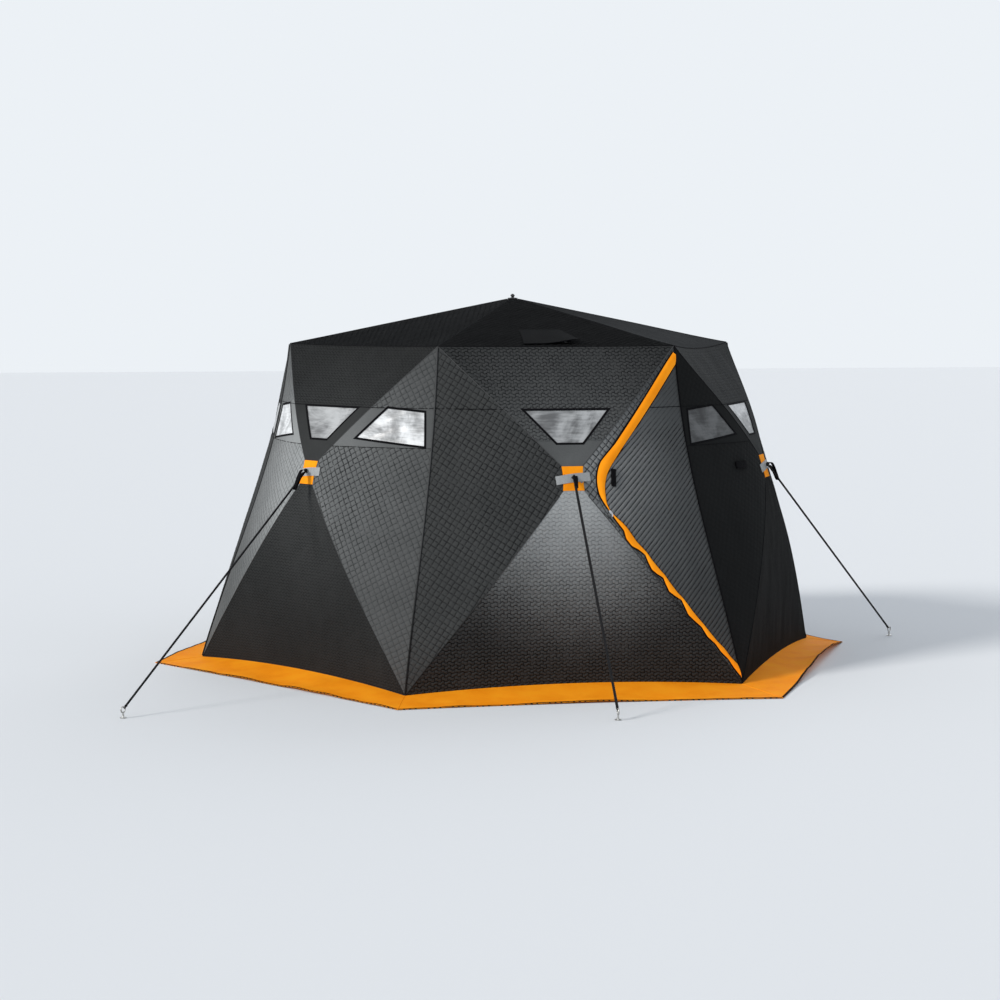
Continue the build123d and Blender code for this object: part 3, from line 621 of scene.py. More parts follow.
def door_outline(upper, lower, margin, hinge):
    """The door's outline round the zip's line, moved out by a reach on each side."""
    points = [right_flat.at(*spot) for spot in (zip_top, zip_nose, zip_bottom)]
    normal = right_flat.normal
    upper_side = (points[1] - points[0]).normalized().cross(normal)
    lower_side = (points[2] - points[1]).normalized().cross(normal)
    radial = Vector((math.sqrt(0.75), 0.5, 0.0))

    def met(lines):
        (p, n), (q, m) = lines
        direction = normal.cross(n)
        return p + direction * ((q - p).dot(m) / direction.dot(m))

    level = Vector((0.0, 0.0, 1.0))
    upper_line = (points[0] + upper_side * upper, upper_side)
    lower_line = (points[1] + lower_side * lower, lower_side)
    head_line = (right_flat.at(0.6, door_head + margin), level)
    foot_line = (right_flat.at(0.6, door_foot - margin), -level)
    hinge_line = (radial * -hinge, radial)

    def on_line(line):
        point, way = line
        inplane = (way - normal * way.dot(normal)).normalized()
        shift = (point - right_flat.origin).dot(way) / inplane.dot(way)
        return right_flat.origin + inplane * shift, inplane

    upper_line, lower_line, head_line, foot_line, hinge_line = [
        on_line(line) for line in (upper_line, lower_line, head_line, foot_line, hinge_line)
    ]
    nose = met([upper_line, lower_line])
    radius = zip_nose_radius + lower
    turn = upper_line[1].angle(lower_line[1])
    run = radius * math.tan(turn / 2)
    upward = (points[0] - points[1]).normalized()
    downward = (points[2] - points[1]).normalized()
    start, end = nose + upward * run, nose + downward * run
    centre = start - upper_line[1] * radius
    arc = []
    for i in range(nose_points):
        share = i / (nose_points - 1)
        ways = upper_line[1] * math.sin((1 - share) * turn) + lower_line[1] * math.sin(share * turn)
        arc.append(centre + ways / math.sin(turn) * radius)
    sides = [lower_line, foot_line, hinge_line, head_line, upper_line]
    return arc + [met(pair) for pair in zip(sides, sides[1:])]


door_void = door_outline(zip_upper_width / 2 + door_gap, zip_lower_width / 2 + door_gap, door_gap, -0.09)
door_edge = door_outline(zip_upper_width / 2, zip_lower_width / 2, 0.0, 0.0006)

quilt_angles = {
    "top": 0.0, "bottom": 0.0, "left": math.radians(-31), "right": math.radians(31), "roof": math.radians(45),
}
brick_cells = {"front": 0.021, "front_right": 0.019, "front_left": 0.017}


def door_plain(points):
    """The door's cloth is plainer towards its head."""
    return 0.6 * step(points[:, 2], 1.36, 1.46)


def stitching(wall, kind):
    """How a wall panel is stitched: rows of scalloped bricks over and under the hub, squares beside it."""
    if kind in ("top", "bottom"):
        return {"ridge": 1.7, "cell": brick_cells.get(wall, 0.021), "brick": 1.0}
    return {}


for wall in wall_names:
    number = wall_names.index(wall)
    for kind in ("top", "bottom", "left", "right"):
        if wall == "front" and kind == "right":
            continue
        holes = []
        plain = None
        if kind == "top":
            holes = [window_outline(kind)]
            plain = tip_plain(band_top if wall in windowed_walls else front_band_foot)
        elif kind != "bottom" and wall in windowed_walls:
            holes = [window_outline(kind)]
            plain = band_plain
        panel = quilted(
            wall + "_" + kind + "_panel", wall, kind, "hut", wall_cloth, "quilted_fabric",
            angle=quilt_angles[kind], holes=holes, plain=plain, seed=number * 4 + len(kind),
            **stitching(wall, kind),
        )
        if kind == "top":
            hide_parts(wall + "_wall")

# Narrow strips of the same cloth frame the door beside the panel's hub seams, pieced below the hub
strip_joint = 0.93
hub_share = (hub.z - strip_joint) / (hub.z - low_right.z)
seam_joint = hub + (low_right - hub) * hub_share
upper_level, lower_level = corner(1, hub.z), corner(1, strip_joint)
for name, outline, seam_end in (
    ("door_upper_strip", [hub, upper_level, top_right], top_right),
    ("door_nose_strip", [hub, seam_joint, lower_level, upper_level], low_right),
    ("door_lower_strip", [seam_joint, low_right, lower_level], low_right),
):
    quilted(
        name, "front", "right", "hut", wall_cloth, "quilted_fabric", outline=outline, angle=math.radians(45),
        holes=[door_void], seed=len(name), length_way=(seam_end - hub).normalized(),
    )
door_panel = quilted(
    "door_panel", "front", "right", "door", wall_cloth, "quilted_fabric", outline=door_edge,
    angle=math.radians(40), plain=door_plain, seed=61, ridge=None, cell=0.024,
)
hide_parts("door_flap")


# Roof: six more panels of the same make in darker cloth, sewn to the eaves and into a low peak.
# The front one has a hole for the vent.
vent_hole = [(-0.13, 0.85), (-0.13, 1.06), (0.085, 1.06), (0.085, 0.85)]
roof_flat = flats["roof"]


def on_roof(across, outward, lift=0.0):
    """The point of the front roof side at a place across and out from the peak, raised off the cloth."""
    drop = (eave_height - peak_height) * outward / eave_out
    return Vector((across, -outward, peak_height + drop)) + roof_flat.normal * lift


vent_outline = [on_roof(x, out) for x, out in vent_hole]
for wall in wall_names:
    panel = quilted(
        wall + "_roof_panel", wall, "roof", "hut", roof_cloth, "roof_fabric", angle=quilt_angles["roof"],
        holes=[vent_outline] if wall == "front" else [], seed=30 + wall_names.index(wall),
    )
    if wall == "front":
        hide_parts("roof_canopy")


# Seams: cord piping is sewn into the hub seams, the eaves, the roof's ribs and the walls' lower edges,
# and a thicker welt runs down each corner. It is black cord in a folded strip of cloth.
piping_radius = 0.0021
eave_piping_radius = 0.0028
welt_radius = 0.004
welt_foot = 0.018
band_seam_radius = 0.0017
door_band_radius = 0.002
hub_seam_start = 0.085
rib_start = 0.025
cloth_gap = 0.0003


def loft(rings, closed=False):
    """Points and faces of a skin over equal rings of points, capped at its ends unless it closes."""
    rings = np.asarray(rings, dtype=float)
    count, around = rings.shape[:2]
    faces = []
    for i in range(count if closed else count - 1):
        here, there = i * around, (i + 1) % count * around
        for j in range(around):
            k = (j + 1) % around
            faces.append((here + j, here + k, there + k, there + j))
    if not closed:
        faces.append(tuple(range(around)))
        faces.append(tuple(range((count - 1) * around, count * around)))
    return rings.reshape(-1, 3), faces


def unit_ways(path, closed=False):
    """Unit directions along a path, at each of its points."""
    if closed:
        along = np.roll(path, -1, axis=0) - np.roll(path, 1, axis=0)
    else:
        along = np.gradient(path, axis=0)
    return along / np.linalg.norm(along, axis=1)[:, None]


def steady_axes(path, closed=False):
    """Two axes beside each point of a path that turn as little as they can."""
    along = unit_ways(path, closed)
    side = np.cross(along[0], (0.31, 0.52, 0.8))
    sides = []
    for way in along:
        side = side - way * side.dot(way)
        side = side / np.linalg.norm(side)
        sides.append(side)
    sides = np.array(sides)
    return sides, np.cross(along, sides)


def tube(path, radius, sides=8, closed=False):
    """A round skin along a path."""
    path = np.asarray(path, dtype=float)
    first, second = steady_axes(path, closed)
    radii = np.broadcast_to(np.asarray(radius, dtype=float), (len(path),))[:, None, None]
    angles = np.arange(sides) * 2 * math.pi / sides
    over = first[:, None, :] * np.cos(angles)[None, :, None]
    up = second[:, None, :] * np.sin(angles)[None, :, None]
    return loft(path[:, None, :] + (over + up) * radii, closed)


def between(start, end, count):
    """Points spread evenly from one place to another."""
    shares = np.linspace(0.0, 1.0, count)[:, None]
    return np.array(start) * (1 - shares) + np.array(end) * shares


def piece(name, skins, material, body, replaced=(), sharp=40.0):
    """One object made of closed skins, riding on a body, or with its place baked in for the door's hinge."""
    points, faces = [], []
    for skin_points, skin_faces in skins:
        base = sum(len(part) for part in points)
        points.append(np.asarray(skin_points, dtype=float))
        faces += [tuple(base + i for i in face) for face in skin_faces]
    mesh = bpy.data.meshes.new(name)
    mesh.from_pydata(np.concatenate(points).tolist(), [], faces)
    shape = bmesh.new()
    shape.from_mesh(mesh)
    bmesh.ops.recalc_face_normals(shape, faces=shape.faces[:])
    shape.to_mesh(mesh)
    shape.free()
    mesh.set_sharp_from_angle(angle=math.radians(sharp))
    mesh.polygons.foreach_set("use_smooth", [True] * len(mesh.polygons))
    mesh.materials.append(material)
    made = bpy.data.objects.new(name, mesh)
    bpy.context.collection.objects.link(made)
    if body == "door_hinge":
        hinged(made)
    else:
        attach(made, body)
    if replaced:
        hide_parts(*replaced)
    return made


def webbing_finish(name, light, dark, rough, pitch, gloss=0.2, foot_darkening=0.0):
    """Woven tape: fine ribs across a diagonal twill, darker by a share towards the ice."""
    material, start, shader, place = finish(name)
    ribs = start.node(
        "ShaderNodeTexWave", {"wave_type": "BANDS", "bands_direction": "DIAGONAL"},
        {"Vector": place, "Scale": 1.0 / pitch, "Distortion": 1.2, "Detail": 1.0},
    )
    wear = grain(start, place, 60.0, 3.0, 0.6)
    tone = (ribs * 0.5 + wear * 0.5).between(0.2, 0.8)
    above_foot = place.part(2).between(0.25, 0.9)
    feed(start, shader, {
        "Base Color": tone.blend(dark, light).dimmed(1.0 - (1.0 - above_foot) * foot_darkening),
        "Roughness": rough + wear * 0.15,
        "Normal": bumped(start, ribs + grain(start, place, 900.0, 1.0) * 0.4, 0.0006, 0.7),
        "Specular IOR Level": gloss,
    })
    return material


black_tape = webbing_finish(
    "black_tape", (0.01, 0.01, 0.011, 1.0), (0.004, 0.004, 0.005, 1.0), 0.7, 0.0022, gloss=0.03
)
seam_cloth = webbing_finish(
    "seam_cloth", (0.085, 0.087, 0.088, 1.0), (0.052, 0.053, 0.054, 1.0), 0.6, 0.0022, gloss=0.1, foot_darkening=0.75
)
dark_seamed = ("front_right",)
seam_skins = []
hub_seam_skins = []
for wall in wall_names:
    runs = [(hub, top_left), (hub, top_right), (hub, low_left), (hub, low_right)]
    for start_point, end_point in runs:
        spots = between(start_point + (end_point - start_point) * hub_seam_start, end_point, 30)
        holder = seam_skins if wall in dark_seamed else hub_seam_skins
        holder.append(tube(settled(spots, wall), piping_radius, 6))
    eave_spots = settled(between(top_left, top_right, 30), wall)
    seam_skins.append(tube(eave_spots, eave_piping_radius, 6))
    rib_spots = settled(between(peak + (top_left - peak) * rib_start, top_left, 30), wall, True)
    seam_skins.append(tube(rib_spots, eave_piping_radius, 6))
    foot_spots = settled(between(low_left, low_right, 40), wall)
    seam_skins.append(tube(foot_spots, eave_piping_radius, 6))
piece("seam_piping", seam_skins, black_tape, "hut")
piece("hub_seam_piping", hub_seam_skins, seam_cloth, "hut")


def band_seam(wall, kind, height, first, last, radius=band_seam_radius):
    """A level cord over a panel, from one place across it to another."""
    lift = flats[kind].normal * 0.0008
    ends = [flats[kind].at(across, height) + lift for across in (first, last)]
    return tube(settled(between(*ends, 24), wall), radius, 6)


def hub_seam_across(height):
    """How far from the wall's middle its upper hub seams are at a height."""
    return half_eave * (height - hub.z) / (eave_height - hub.z)


band_skins = []
for wall in wall_names:
    seam_across, corner_across = hub_seam_across(band_top), corner(1, band_top).x
    band_skins.append(band_seam(wall, "left", band_top, -corner_across, -seam_across))
    if wall == "front":
        continue
    band_skins.append(band_seam(wall, "right", band_top, seam_across, corner_across))
    if wall in windowed_walls:
        band_skins.append(band_seam(wall, "top", band_top, -seam_across, seam_across))
        low_seam, low_corner = hub_seam_across(band_foot), corner(1, band_foot).x
        for side, kind in ((-1, "left"), (1, "right")):
            band_skins.append(band_seam(wall, kind, band_foot, side * low_seam, side * low_corner))
piece("band_seams", band_skins, black_tape, "hut")
door_band = band_seam("front", "right", band_top, 0.478, corner(1, band_top).x - 0.004, door_band_radius)
piece("door_band_seam", [door_band], black_tape, "door_hinge")

welt_skins = []
corner_out = Vector((0.5, -math.sqrt(0.75), 0.0))
welt_reach = (welt_radius + cloth_gap) / corner_out.dot(flats["right"].normal)
for wall in wall_names:
    start_point = corner(1, welt_foot) + corner_out * welt_reach
    end_point = corner(1, eave_height - welt_radius) + corner_out * welt_reach
    spots = settled(between(start_point, end_point, 90), wall)
    lumps = [noise.noise((p[0] * 30, p[1] * 30, p[2] * 60)) for p in spots.tolist()]
    welt_skins.append(tube(spots, [welt_radius * (1.0 + 0.06 * lump) for lump in lumps], 12))
door_welt = welt_skins.pop(wall_names.index("front"))
piece("corner_welt_cords", welt_skins, seam_cloth, "hut", ["corner_welts"])
piece("door_corner_welt", [door_welt], black_tape, "hut")


# Window panes: soft clear film, creased from folding and sewn in behind each hole. A black tape binds
# the edge of the hole and holds the film.
film_depth = 0.0024
film_thickness = 0.0008
binding_inside = 0.003
binding_outside = 0.009
binding_height = 0.0016
crease_height = 0.0035


def grown(outline, normal, reach):
    """A convex outline with each edge moved outwards."""
    moved = []
    for i, spot in enumerate(outline):
        before, after = outline[i - 1], outline[(i + 1) % len(outline)]
        first = (spot - before).normalized().cross(normal)
        second = (after - spot).normalized().cross(normal)
        moved.append(spot + (first + second) * (reach / (1.0 + first.dot(second))))
    return moved


def blanket(grid, thickness, out):
    """A closed cloth of that thickness under a grid of points."""
    grid = np.asarray(grid, dtype=float)
    rows, columns = grid.shape[:2]
    count = rows * columns
    under = grid - np.asarray(out) * thickness
    number = np.arange(count).reshape(rows, columns)
    faces = []
    for i in range(rows - 1):
        for j in range(columns - 1):
            square = (number[i, j], number[i + 1, j], number[i + 1, j + 1], number[i, j + 1])
            faces.append(tuple(int(n) for n in square))
            faces.append(tuple(int(n) + count for n in reversed(square)))
    rim = list(number[0, :]) + list(number[1:, -1]) + list(number[-1, -2::-1]) + list(number[-2:0:-1, 0])
    for i, first in enumerate(rim):
        second = rim[(i + 1) % len(rim)]
        faces.append((int(first), int(second), int(second) + count, int(first) + count))
    return np.concatenate([grid.reshape(-1, 3), under.reshape(-1, 3)]), faces


def film_grid(outline, flat, seed, rows=13, columns=31):
    """The creased film across a window."""
    sill_left, sill_right, head_right, head_left = [np.array(p) for p in outline]
    up_share = np.linspace(0.0, 1.0, rows)[:, None, None]
    over_share = np.linspace(0.0, 1.0, columns)[None, :, None]
    sill = sill_left + (sill_right - sill_left) * over_share
    head = head_left + (head_right - head_left) * over_share
    grid = sill + (head - sill) * up_share
    held = np.minimum(np.minimum(up_share, 1 - up_share), np.minimum(over_share, 1 - over_share))
    creases = np.array([
        noise.noise((x * 14 + seed, y * 14, z * 26)) + 0.4 * abs(noise.noise((x * 40, seed, z * 55)))
        for x, y, z in grid.reshape(-1, 3).tolist()
    ]).reshape(rows, columns, 1)
    lift = crease_height * creases * np.clip(held * 6, 0, 1) - film_depth
    return grid + np.array(flat.normal) * lift


film_material, start, shader, place = finish("window_film")
haze = start.node("ShaderNodeTexNoise", {}, {
    "Vector": place, "Scale": 3.4, "Detail": 4.0, "Roughness": 0.55, "Distortion": 1.6,
})
streak = start.node("ShaderNodeMapping", {}, {"Vector": place, "Scale": (9.0, 9.0, 60.0)})
folds = grain(start, streak, 1.3, 3.0, 0.6)
wrinkle = grain(start, place, 55.0, 4.0, 0.7)
# Painted reflection: the film's pale streaks and dark smudges stand in for the sky and snow it mirrors,
# dimmed by each pane's tone
shade = (haze * 0.75 + folds * 0.25).between(0.36, 0.62)
clear = shade.blend((0.24, 0.245, 0.25, 1.0), (0.82, 0.84, 0.85, 1.0))
feed(start, shader, {
    "Base Color": clear.dimmed(start.marked("tone")),
    "Roughness": 0.22 + haze * 0.2,
    "Normal": bumped(start, wrinkle + folds * 0.8, 0.0015, 0.5),
    "Specular IOR Level": 0.2,
    "Coat Weight": 0.12,
    "Coat Roughness": 0.12,
})
# How much painted light each wall's windows send back: the low sun shines on those of the front left wall
pane_tones = {
    ("front_left", "left"): 1.0, ("front_left", "top"): 0.55, ("front_left", "right"): 0.95,
    ("front", "top"): 0.52, ("front_right", "left"): 0.17, ("front_right", "top"): 0.45,
}
for wall in wall_names:
    kinds = ["top", "left", "right"] if wall in windowed_walls else ["top"]
    panes, bindings = [], []
    for kind in kinds:
        flat = flats[kind]
        outline = window_outline(kind)
        grid = film_grid(grown(outline, flat.normal, -0.0004), flat, len(wall) * 1.7 + len(kind))
        panes.append(blanket(settled_grid(grid, wall), film_thickness, turned([flat.normal], wall)[0]))
        inner = grown(outline, flat.normal, -binding_inside)
        outer = grown(outline, flat.normal, binding_outside)
        rings = []
        for i in range(4):
            j = (i + 1) % 4
            for share in np.linspace(0, 1, 12, endpoint=False):
                near = inner[i].lerp(inner[j], share)
                far = outer[i].lerp(outer[j], share)
                middle = (near + far) * 0.5
                rings.append([
                    near - flat.normal * 0.0005, near + flat.normal * binding_height * 0.8,
                    middle + flat.normal * binding_height * 1.3, far + flat.normal * binding_height * 0.8,
                    far - flat.normal * 0.0005,
                ])
        bindings.append(loft(settled_grid(rings, wall), closed=True))
    made = piece(wall + "_panes", panes, film_material, "hut", [wall + "_windows"])
    layer = made.data.attributes.new("tone", "FLOAT", "POINT")
    tones = [[pane_tones.get((wall, kind), 0.5)] * len(pane[0]) for kind, pane in zip(kinds, panes)]
    layer.data.foreach_set("value", sum(tones, []))
    piece(wall + "_window_bindings", bindings, black_tape, "hut")


# Door trim: the orange cloth strip over the zip, black cord along both of its edges, the zip's tape and teeth
# in the gap round the flap, the nickel slider, and the webbing tab and pad that hold the flap open.
zip_line = door_outline(0.0, 0.0, 0.0, 0.0006)
slider_across = 0.201
slider_height = 0.95
gap_tape_width = 0.016
tooth_pitch = 0.0045


def evenly(points, pitch):
    """The same path with points at an even pitch."""
    points = np.array([list(p) for p in points])
    lengths = np.concatenate([[0.0], np.cumsum(np.linalg.norm(np.diff(points, axis=0), axis=1))])
    wanted = np.linspace(0.0, lengths[-1], int(lengths[-1] / pitch) + 2)
    return np.stack([np.interp(wanted, lengths, points[:, k]) for k in range(3)], axis=1), wanted


def ribbon(path, across, out, width, thickness, crown, columns=6):
    """A strip of cloth along a path, crowned in the middle."""
    width = np.broadcast_to(np.asarray(width, dtype=float), (len(path),))[:, None]
    crown = np.broadcast_to(np.asarray(crown, dtype=float), (len(path),))[:, None]
    rings = []
    shares = np.linspace(-1.0, 1.0, columns + 1)
    for level in (0.0, -thickness):
        row = [
            path + across * width * share / 2 + out * (level + crown * (1 - share * share))
            for share in (shares if level == 0.0 else shares[::-1])
        ]
        rings += row
    return loft(np.stack(rings, axis=1))


def orange_finish(name, painted_glow):
    """Coated orange cloth with a fine weave, a little soiled. It glows by a share, painted light that
    brightens its dye.
    """
    material, start, shader, place = finish(name)
    weave = grain(start, place, 800.0, 1.0)
    mottle = grain(start, place, 6.0, 3.0, 0.6)
    soil = grain(start, place, 22.0, 4.0, 0.65).between(0.6, 0.85)
    fresh = mottle.between(0.25, 0.75).blend((0.9, 0.27, 0.006, 1.0), (1.0, 0.35, 0.012, 1.0))
    worn = (soil * 0.22).blend(fresh, (0.6, 0.16, 0.008, 1.0))
    feed(start, shader, {
        "Base Color": worn,
        "Roughness": 0.62 + mottle * 0.15,
        "Normal": bumped(start, weave * 0.3 + grain(start, place, 30.0, 3.0, 0.6), 0.0014, 0.8),
        "Specular IOR Level": 0.05,
        "Emission Color": worn,
        "Emission Strength": painted_glow,
    })
    return material


# Both glow by a share of their colour: painted light, stronger on the door strip to brighten it where the key
# lamp falls weakly
orange_cloth = orange_finish("orange_cloth", 0.06)
lit_strip_cloth = orange_finish("lit_strip_cloth", 0.2)
zip_points, zip_run = evenly([zip_line[-1]] + zip_line[:nose_points + 1], 0.009)
door_out = np.array(right_flat.normal)
zip_across = np.cross(door_out, unit_ways(zip_points))
# Heights in metres, with the strip's width and its sway towards the door in millimetres there: it is full
# over the nose of the door, pinched at the slider, and wavy below that
strip_waves = np.array([
    (1.72, 60, 3), (1.58, 58, -3), (1.45, 53, -5), (1.3, 49, -4), (1.2, 65, 1), (1.13, 55, 0),
    (1.05, 38, 0), (1.0, 15, 0), (0.955, 6, 0), (0.92, 15, 0), (0.89, 24, -3), (0.86, 28, -4),
    (0.83, 46, 8), (0.79, 42, 11), (0.76, 27, 0), (0.725, 19, -8), (0.69, 30, 2), (0.66, 40, 7),
    (0.63, 33, 2), (0.6, 20, -7), (0.57, 30, 2), (0.54, 40, 8), (0.51, 28, 3), (0.475, 17, -8),
    (0.44, 28, -1), (0.41, 38, 6), (0.37, 31, 2), (0.33, 23, -4), (0.28, 32, 1), (0.235, 22, -5),
    (0.19, 33, -7), (0.145, 22, -10), (0.1, 36, -11), (0.04, 24, -8),
])[::-1]
strip_width, strip_sway = [
    np.interp(zip_points[:, 2], strip_waves[:, 0], strip_waves[:, k] / 1000.0) for k in (1, 2)
]
strip_crown = 0.008 * step(strip_width, 0.004, 0.03)
radial_way = np.array([math.sqrt(0.75), 0.5, 0.0])


def beside_corner(skin):
    """A skin on the door with what would pass the corner kept beside it, as the cloth is shaped."""
    points, faces = skin
    over = np.maximum(points @ radial_way + 0.003, 0.0) / np.array(right_flat.level).dot(radial_way)
    return settled(points - over[:, None] * np.array(right_flat.level), "front"), faces


strip_middle = zip_points - zip_across * strip_sway[:, None] + door_out * 0.0036
strip = beside_corner(ribbon(strip_middle, zip_across, door_out, strip_width, 0.0016, strip_crown, 8))
door_strip = piece("door_zip_strip", [strip], lit_strip_cloth, "door_hinge", ["door_zip_band"])
strip_trim = []
for side in (-1, 1):
    strip_edge = strip_middle + zip_across * (side * strip_width / 2)[:, None] - door_out * 0.0008
    strip_trim.append(beside_corner(tube(strip_edge, 0.0021, 6)))
strip_trim.append(beside_corner(
    ribbon(strip_middle - door_out * 0.0018, zip_across, door_out, strip_width + 0.012, 0.0012, 0.0, 2)
))
piece("door_strip_cords", strip_trim, black_tape, "door_hinge")

half_gap = door_gap / 2
gap_line = door_outline(zip_upper_width / 2 + half_gap, zip_lower_width / 2 + half_gap, half_gap, 0.0)
gap_path = [gap_line[-1]] + gap_line[:nose_points + 1]
gap_points = evenly(gap_path, 0.012)[0]
gap_across = np.cross(door_out, unit_ways(gap_points))
gap_level = gap_points - door_out * (cloth + 0.001)
gap_tape = ribbon(gap_level, gap_across, door_out, gap_tape_width, 0.001, 0.0, 2)
piece("door_gap_tape", [beside_corner(gap_tape)], black_tape, "hut")
teeth = []
tooth_points = evenly(gap_path, tooth_pitch)[0]
for number, (spot, way) in enumerate(zip(tooth_points, unit_ways(tooth_points))):
    side = np.cross(door_out, way)
    spot = spot - door_out * 0.0035 + side * (0.0005 if number % 2 else -0.0005)
    teeth.append(beside_corner(loft([
        [spot + way * a + side * b * width + door_out * c
         for a, b in ((-0.0013, -1), (0.0013, -1), (0.0013, 1), (-0.0013, 1))]
        for c, width in ((-0.0022, 0.0014), (0.0, 0.0016), (0.001, 0.0008))
    ])))
tooth_plastic = webbing_finish(
    "tooth_plastic", (0.045, 0.045, 0.047, 1.0), (0.02, 0.02, 0.021, 1.0), 0.35, 0.004
)
piece("door_zip_teeth", teeth, tooth_plastic, "hut")


def metal_finish(name, light, dark, rough, scratch):
    """Plated metal with fine scratches and duller patches."""
    material, start, shader, place = finish(name)
    patch = grain(start, place, 70.0, 3.0, 0.6)
    drawn = start.node("ShaderNodeMapping", {}, {"Vector": place, "Scale": (300.0, 300.0, 1800.0)})
    scratches = grain(start, drawn, 1.0, 2.0)
    feed(start, shader, {
        "Base Color": patch.between(0.3, 0.75).blend(light, dark),
        "Roughness": rough + patch * 0.22,
        "Normal": bumped(start, scratches, scratch, 0.5),
        "Metallic": 1.0,
    })
    return material


zip_metal = metal_finish("zip_metal", (0.72, 0.72, 0.74, 1.0), (0.5, 0.5, 0.52, 1.0), 0.2, 0.0001)
slider_middle = settled([right_flat.at(slider_across, slider_height)], "front")[0]
slide_way = np.array((right_flat.at(*zip_bottom) - right_flat.at(*zip_nose)).normalized())
slide_side = np.cross(door_out, slide_way)


def squared(value):
    """A sine or cosine that turns a circle into a rounded square."""
    return math.copysign(abs(value) ** 0.5, value)


def slider_ring(run, half_width, low, high):
    """One rounded section of the slider's body."""
    ring = []
    for i in range(16):
        angle = 2 * math.pi * (i + 0.5) / 16
        over = squared(math.cos(angle)) * half_width
        height = (low + high) / 2 + squared(math.sin(angle)) * (high - low) / 2
        ring.append(slider_middle + slide_way * run + slide_side * over + door_out * height)
    return ring


body_skin = loft([
    slider_ring(-0.017, 0.0035, 0.002, 0.0045), slider_ring(-0.013, 0.006, 0.0008, 0.006),
    slider_ring(-0.004, 0.007, 0.0005, 0.007), slider_ring(0.006, 0.0062, 0.0005, 0.007),
    slider_ring(0.013, 0.005, 0.0008, 0.006), slider_ring(0.017, 0.003, 0.002, 0.0045),
])
bridge_shape = [
    (-0.01, 0.006), (-0.009, 0.0092), (-0.004, 0.0108), (0.002, 0.0108), (0.007, 0.0092), (0.008, 0.006),
]
bridge_path = [slider_middle + slide_way * run + door_out * height for run, height in bridge_shape]
bridge = tube(bridge_path, 0.0013, 8)
pull_top = slider_middle + door_out * 0.0095 + slide_way * 0.004
pull_shape = [(0.0, 0.0025), (0.004, 0.0034), (0.01, 0.0042), (0.016, 0.0044), (0.019, 0.003)]
pull_side = np.array(right_flat.level)
downward = np.array([0.0, 0.0, -1.0])
pull_tab = loft([
    [pull_top + downward * drop + door_out * (0.0012 + height - 0.05 * drop) + pull_side * side
     for side, height in ((-half, 0.0), (half, 0.0), (half, 0.0013), (-half, 0.0013))]
    for drop, half in pull_shape
])
piece("door_slider", [body_skin, bridge, pull_tab], zip_metal, "door", ["door_zip_slider"])


def tape_patch(flat, across, height, width, length, thickness, lean, wall, body, name, node):
    """A short piece of doubled webbing sewn on over the quilting, its ends a little lifted."""
    middle = np.array(flat.at(across, height))
    rise = np.array(flat.rise * math.cos(lean) + flat.level * math.sin(lean))
    level = np.array(flat.level * math.cos(lean) - flat.rise * math.sin(lean))
    rows, columns = 15, 9
    grid = np.zeros((rows, columns, 3))
    for i, up_share in enumerate(np.linspace(-1, 1, rows)):
        for j, over_share in enumerate(np.linspace(-1, 1, columns)):
            lift = thickness + 0.0008 * noise.noise((i * 0.4, j * 0.5, height)) + 0.0012 * up_share ** 4
            lift -= 0.0012 * over_share ** 6
            spot = level * over_share * width / 2 + rise * up_share * length / 2
            grid[i, j] = middle + spot + np.array(flat.normal) * (lift + 2.0 * quilt_swell + cloth_gap)
    skin = blanket(settled_grid(grid, wall), thickness + 1.5 * quilt_swell, turned([flat.normal], wall)[0])
    made = piece(name, [skin], black_tape, body, [node])


tab_lean = math.radians(8)
tape_patch(
    right_flat, 0.231, 1.133, 0.027, 0.095, 0.003, tab_lean, "front", "door", "door_tab", "door_tie_tab"
)
tape_patch(
    flats["left"], -0.328, 1.159, 0.11, 0.04, 0.003, 0.0, "front_right", "hut", "door_pad", "door_tie_pad"
)


# Wall hubs outside: an orange reinforcing patch, a grey strap sewn over it, a knotted black cord that holds
# the guy rope, and a webbing loop that pulls the hub out when the hut is put up.
patch_width = 0.118
patch_height = 0.133
patch_top = 0.0028
patch_thickness = 0.0022
strap_width = 0.19
strap_height = 0.047
strap_top = 0.0061
strap_thickness = 0.0024
strap_tilt = math.radians(6.0)
knot_out = 0.0204
knot_radius = 0.014
chord_normal = (low_right - low_left).cross(top_right - low_left).normalized()
hub_across = Vector((1.0, 0.0, 0.0))
hub_up = chord_normal.cross(hub_across)


def over_hub(x, y, lift):
    """A point over the cloth's shallow point, by its place beside the hub."""
    falls = []
    for kind in ("top", "right", "bottom", "left"):
        normal = flats[kind].normal
        falls.append(-(x * normal.dot(hub_across) + y * normal.dot(hub_up)) / normal.dot(chord_normal))
    return hub + hub_across * x + hub_up * y + chord_normal * (min(falls) + lift)


def hub_cloth(width, height, top, tilt, waist, rows, columns):
    """A grid of cloth laid over the hub."""
    grid = np.zeros((rows, columns, 3))
    for i, up_share in enumerate(np.linspace(-1, 1, rows)):
        for j, over_share in enumerate(np.linspace(-1, 1, columns)):
            x = over_share * width / 2 * (1 - waist * (1 - up_share * up_share))
            y = up_share * height / 2
            spot_x = x * math.cos(tilt) - y * math.sin(tilt)
            spot_y = x * math.sin(tilt) + y * math.cos(tilt)
            ripple = 0.0007 * noise.noise((spot_x * 60, spot_y * 60, top * 900))
            grid[i, j] = over_hub(spot_x, spot_y, top + ripple)
    return grid


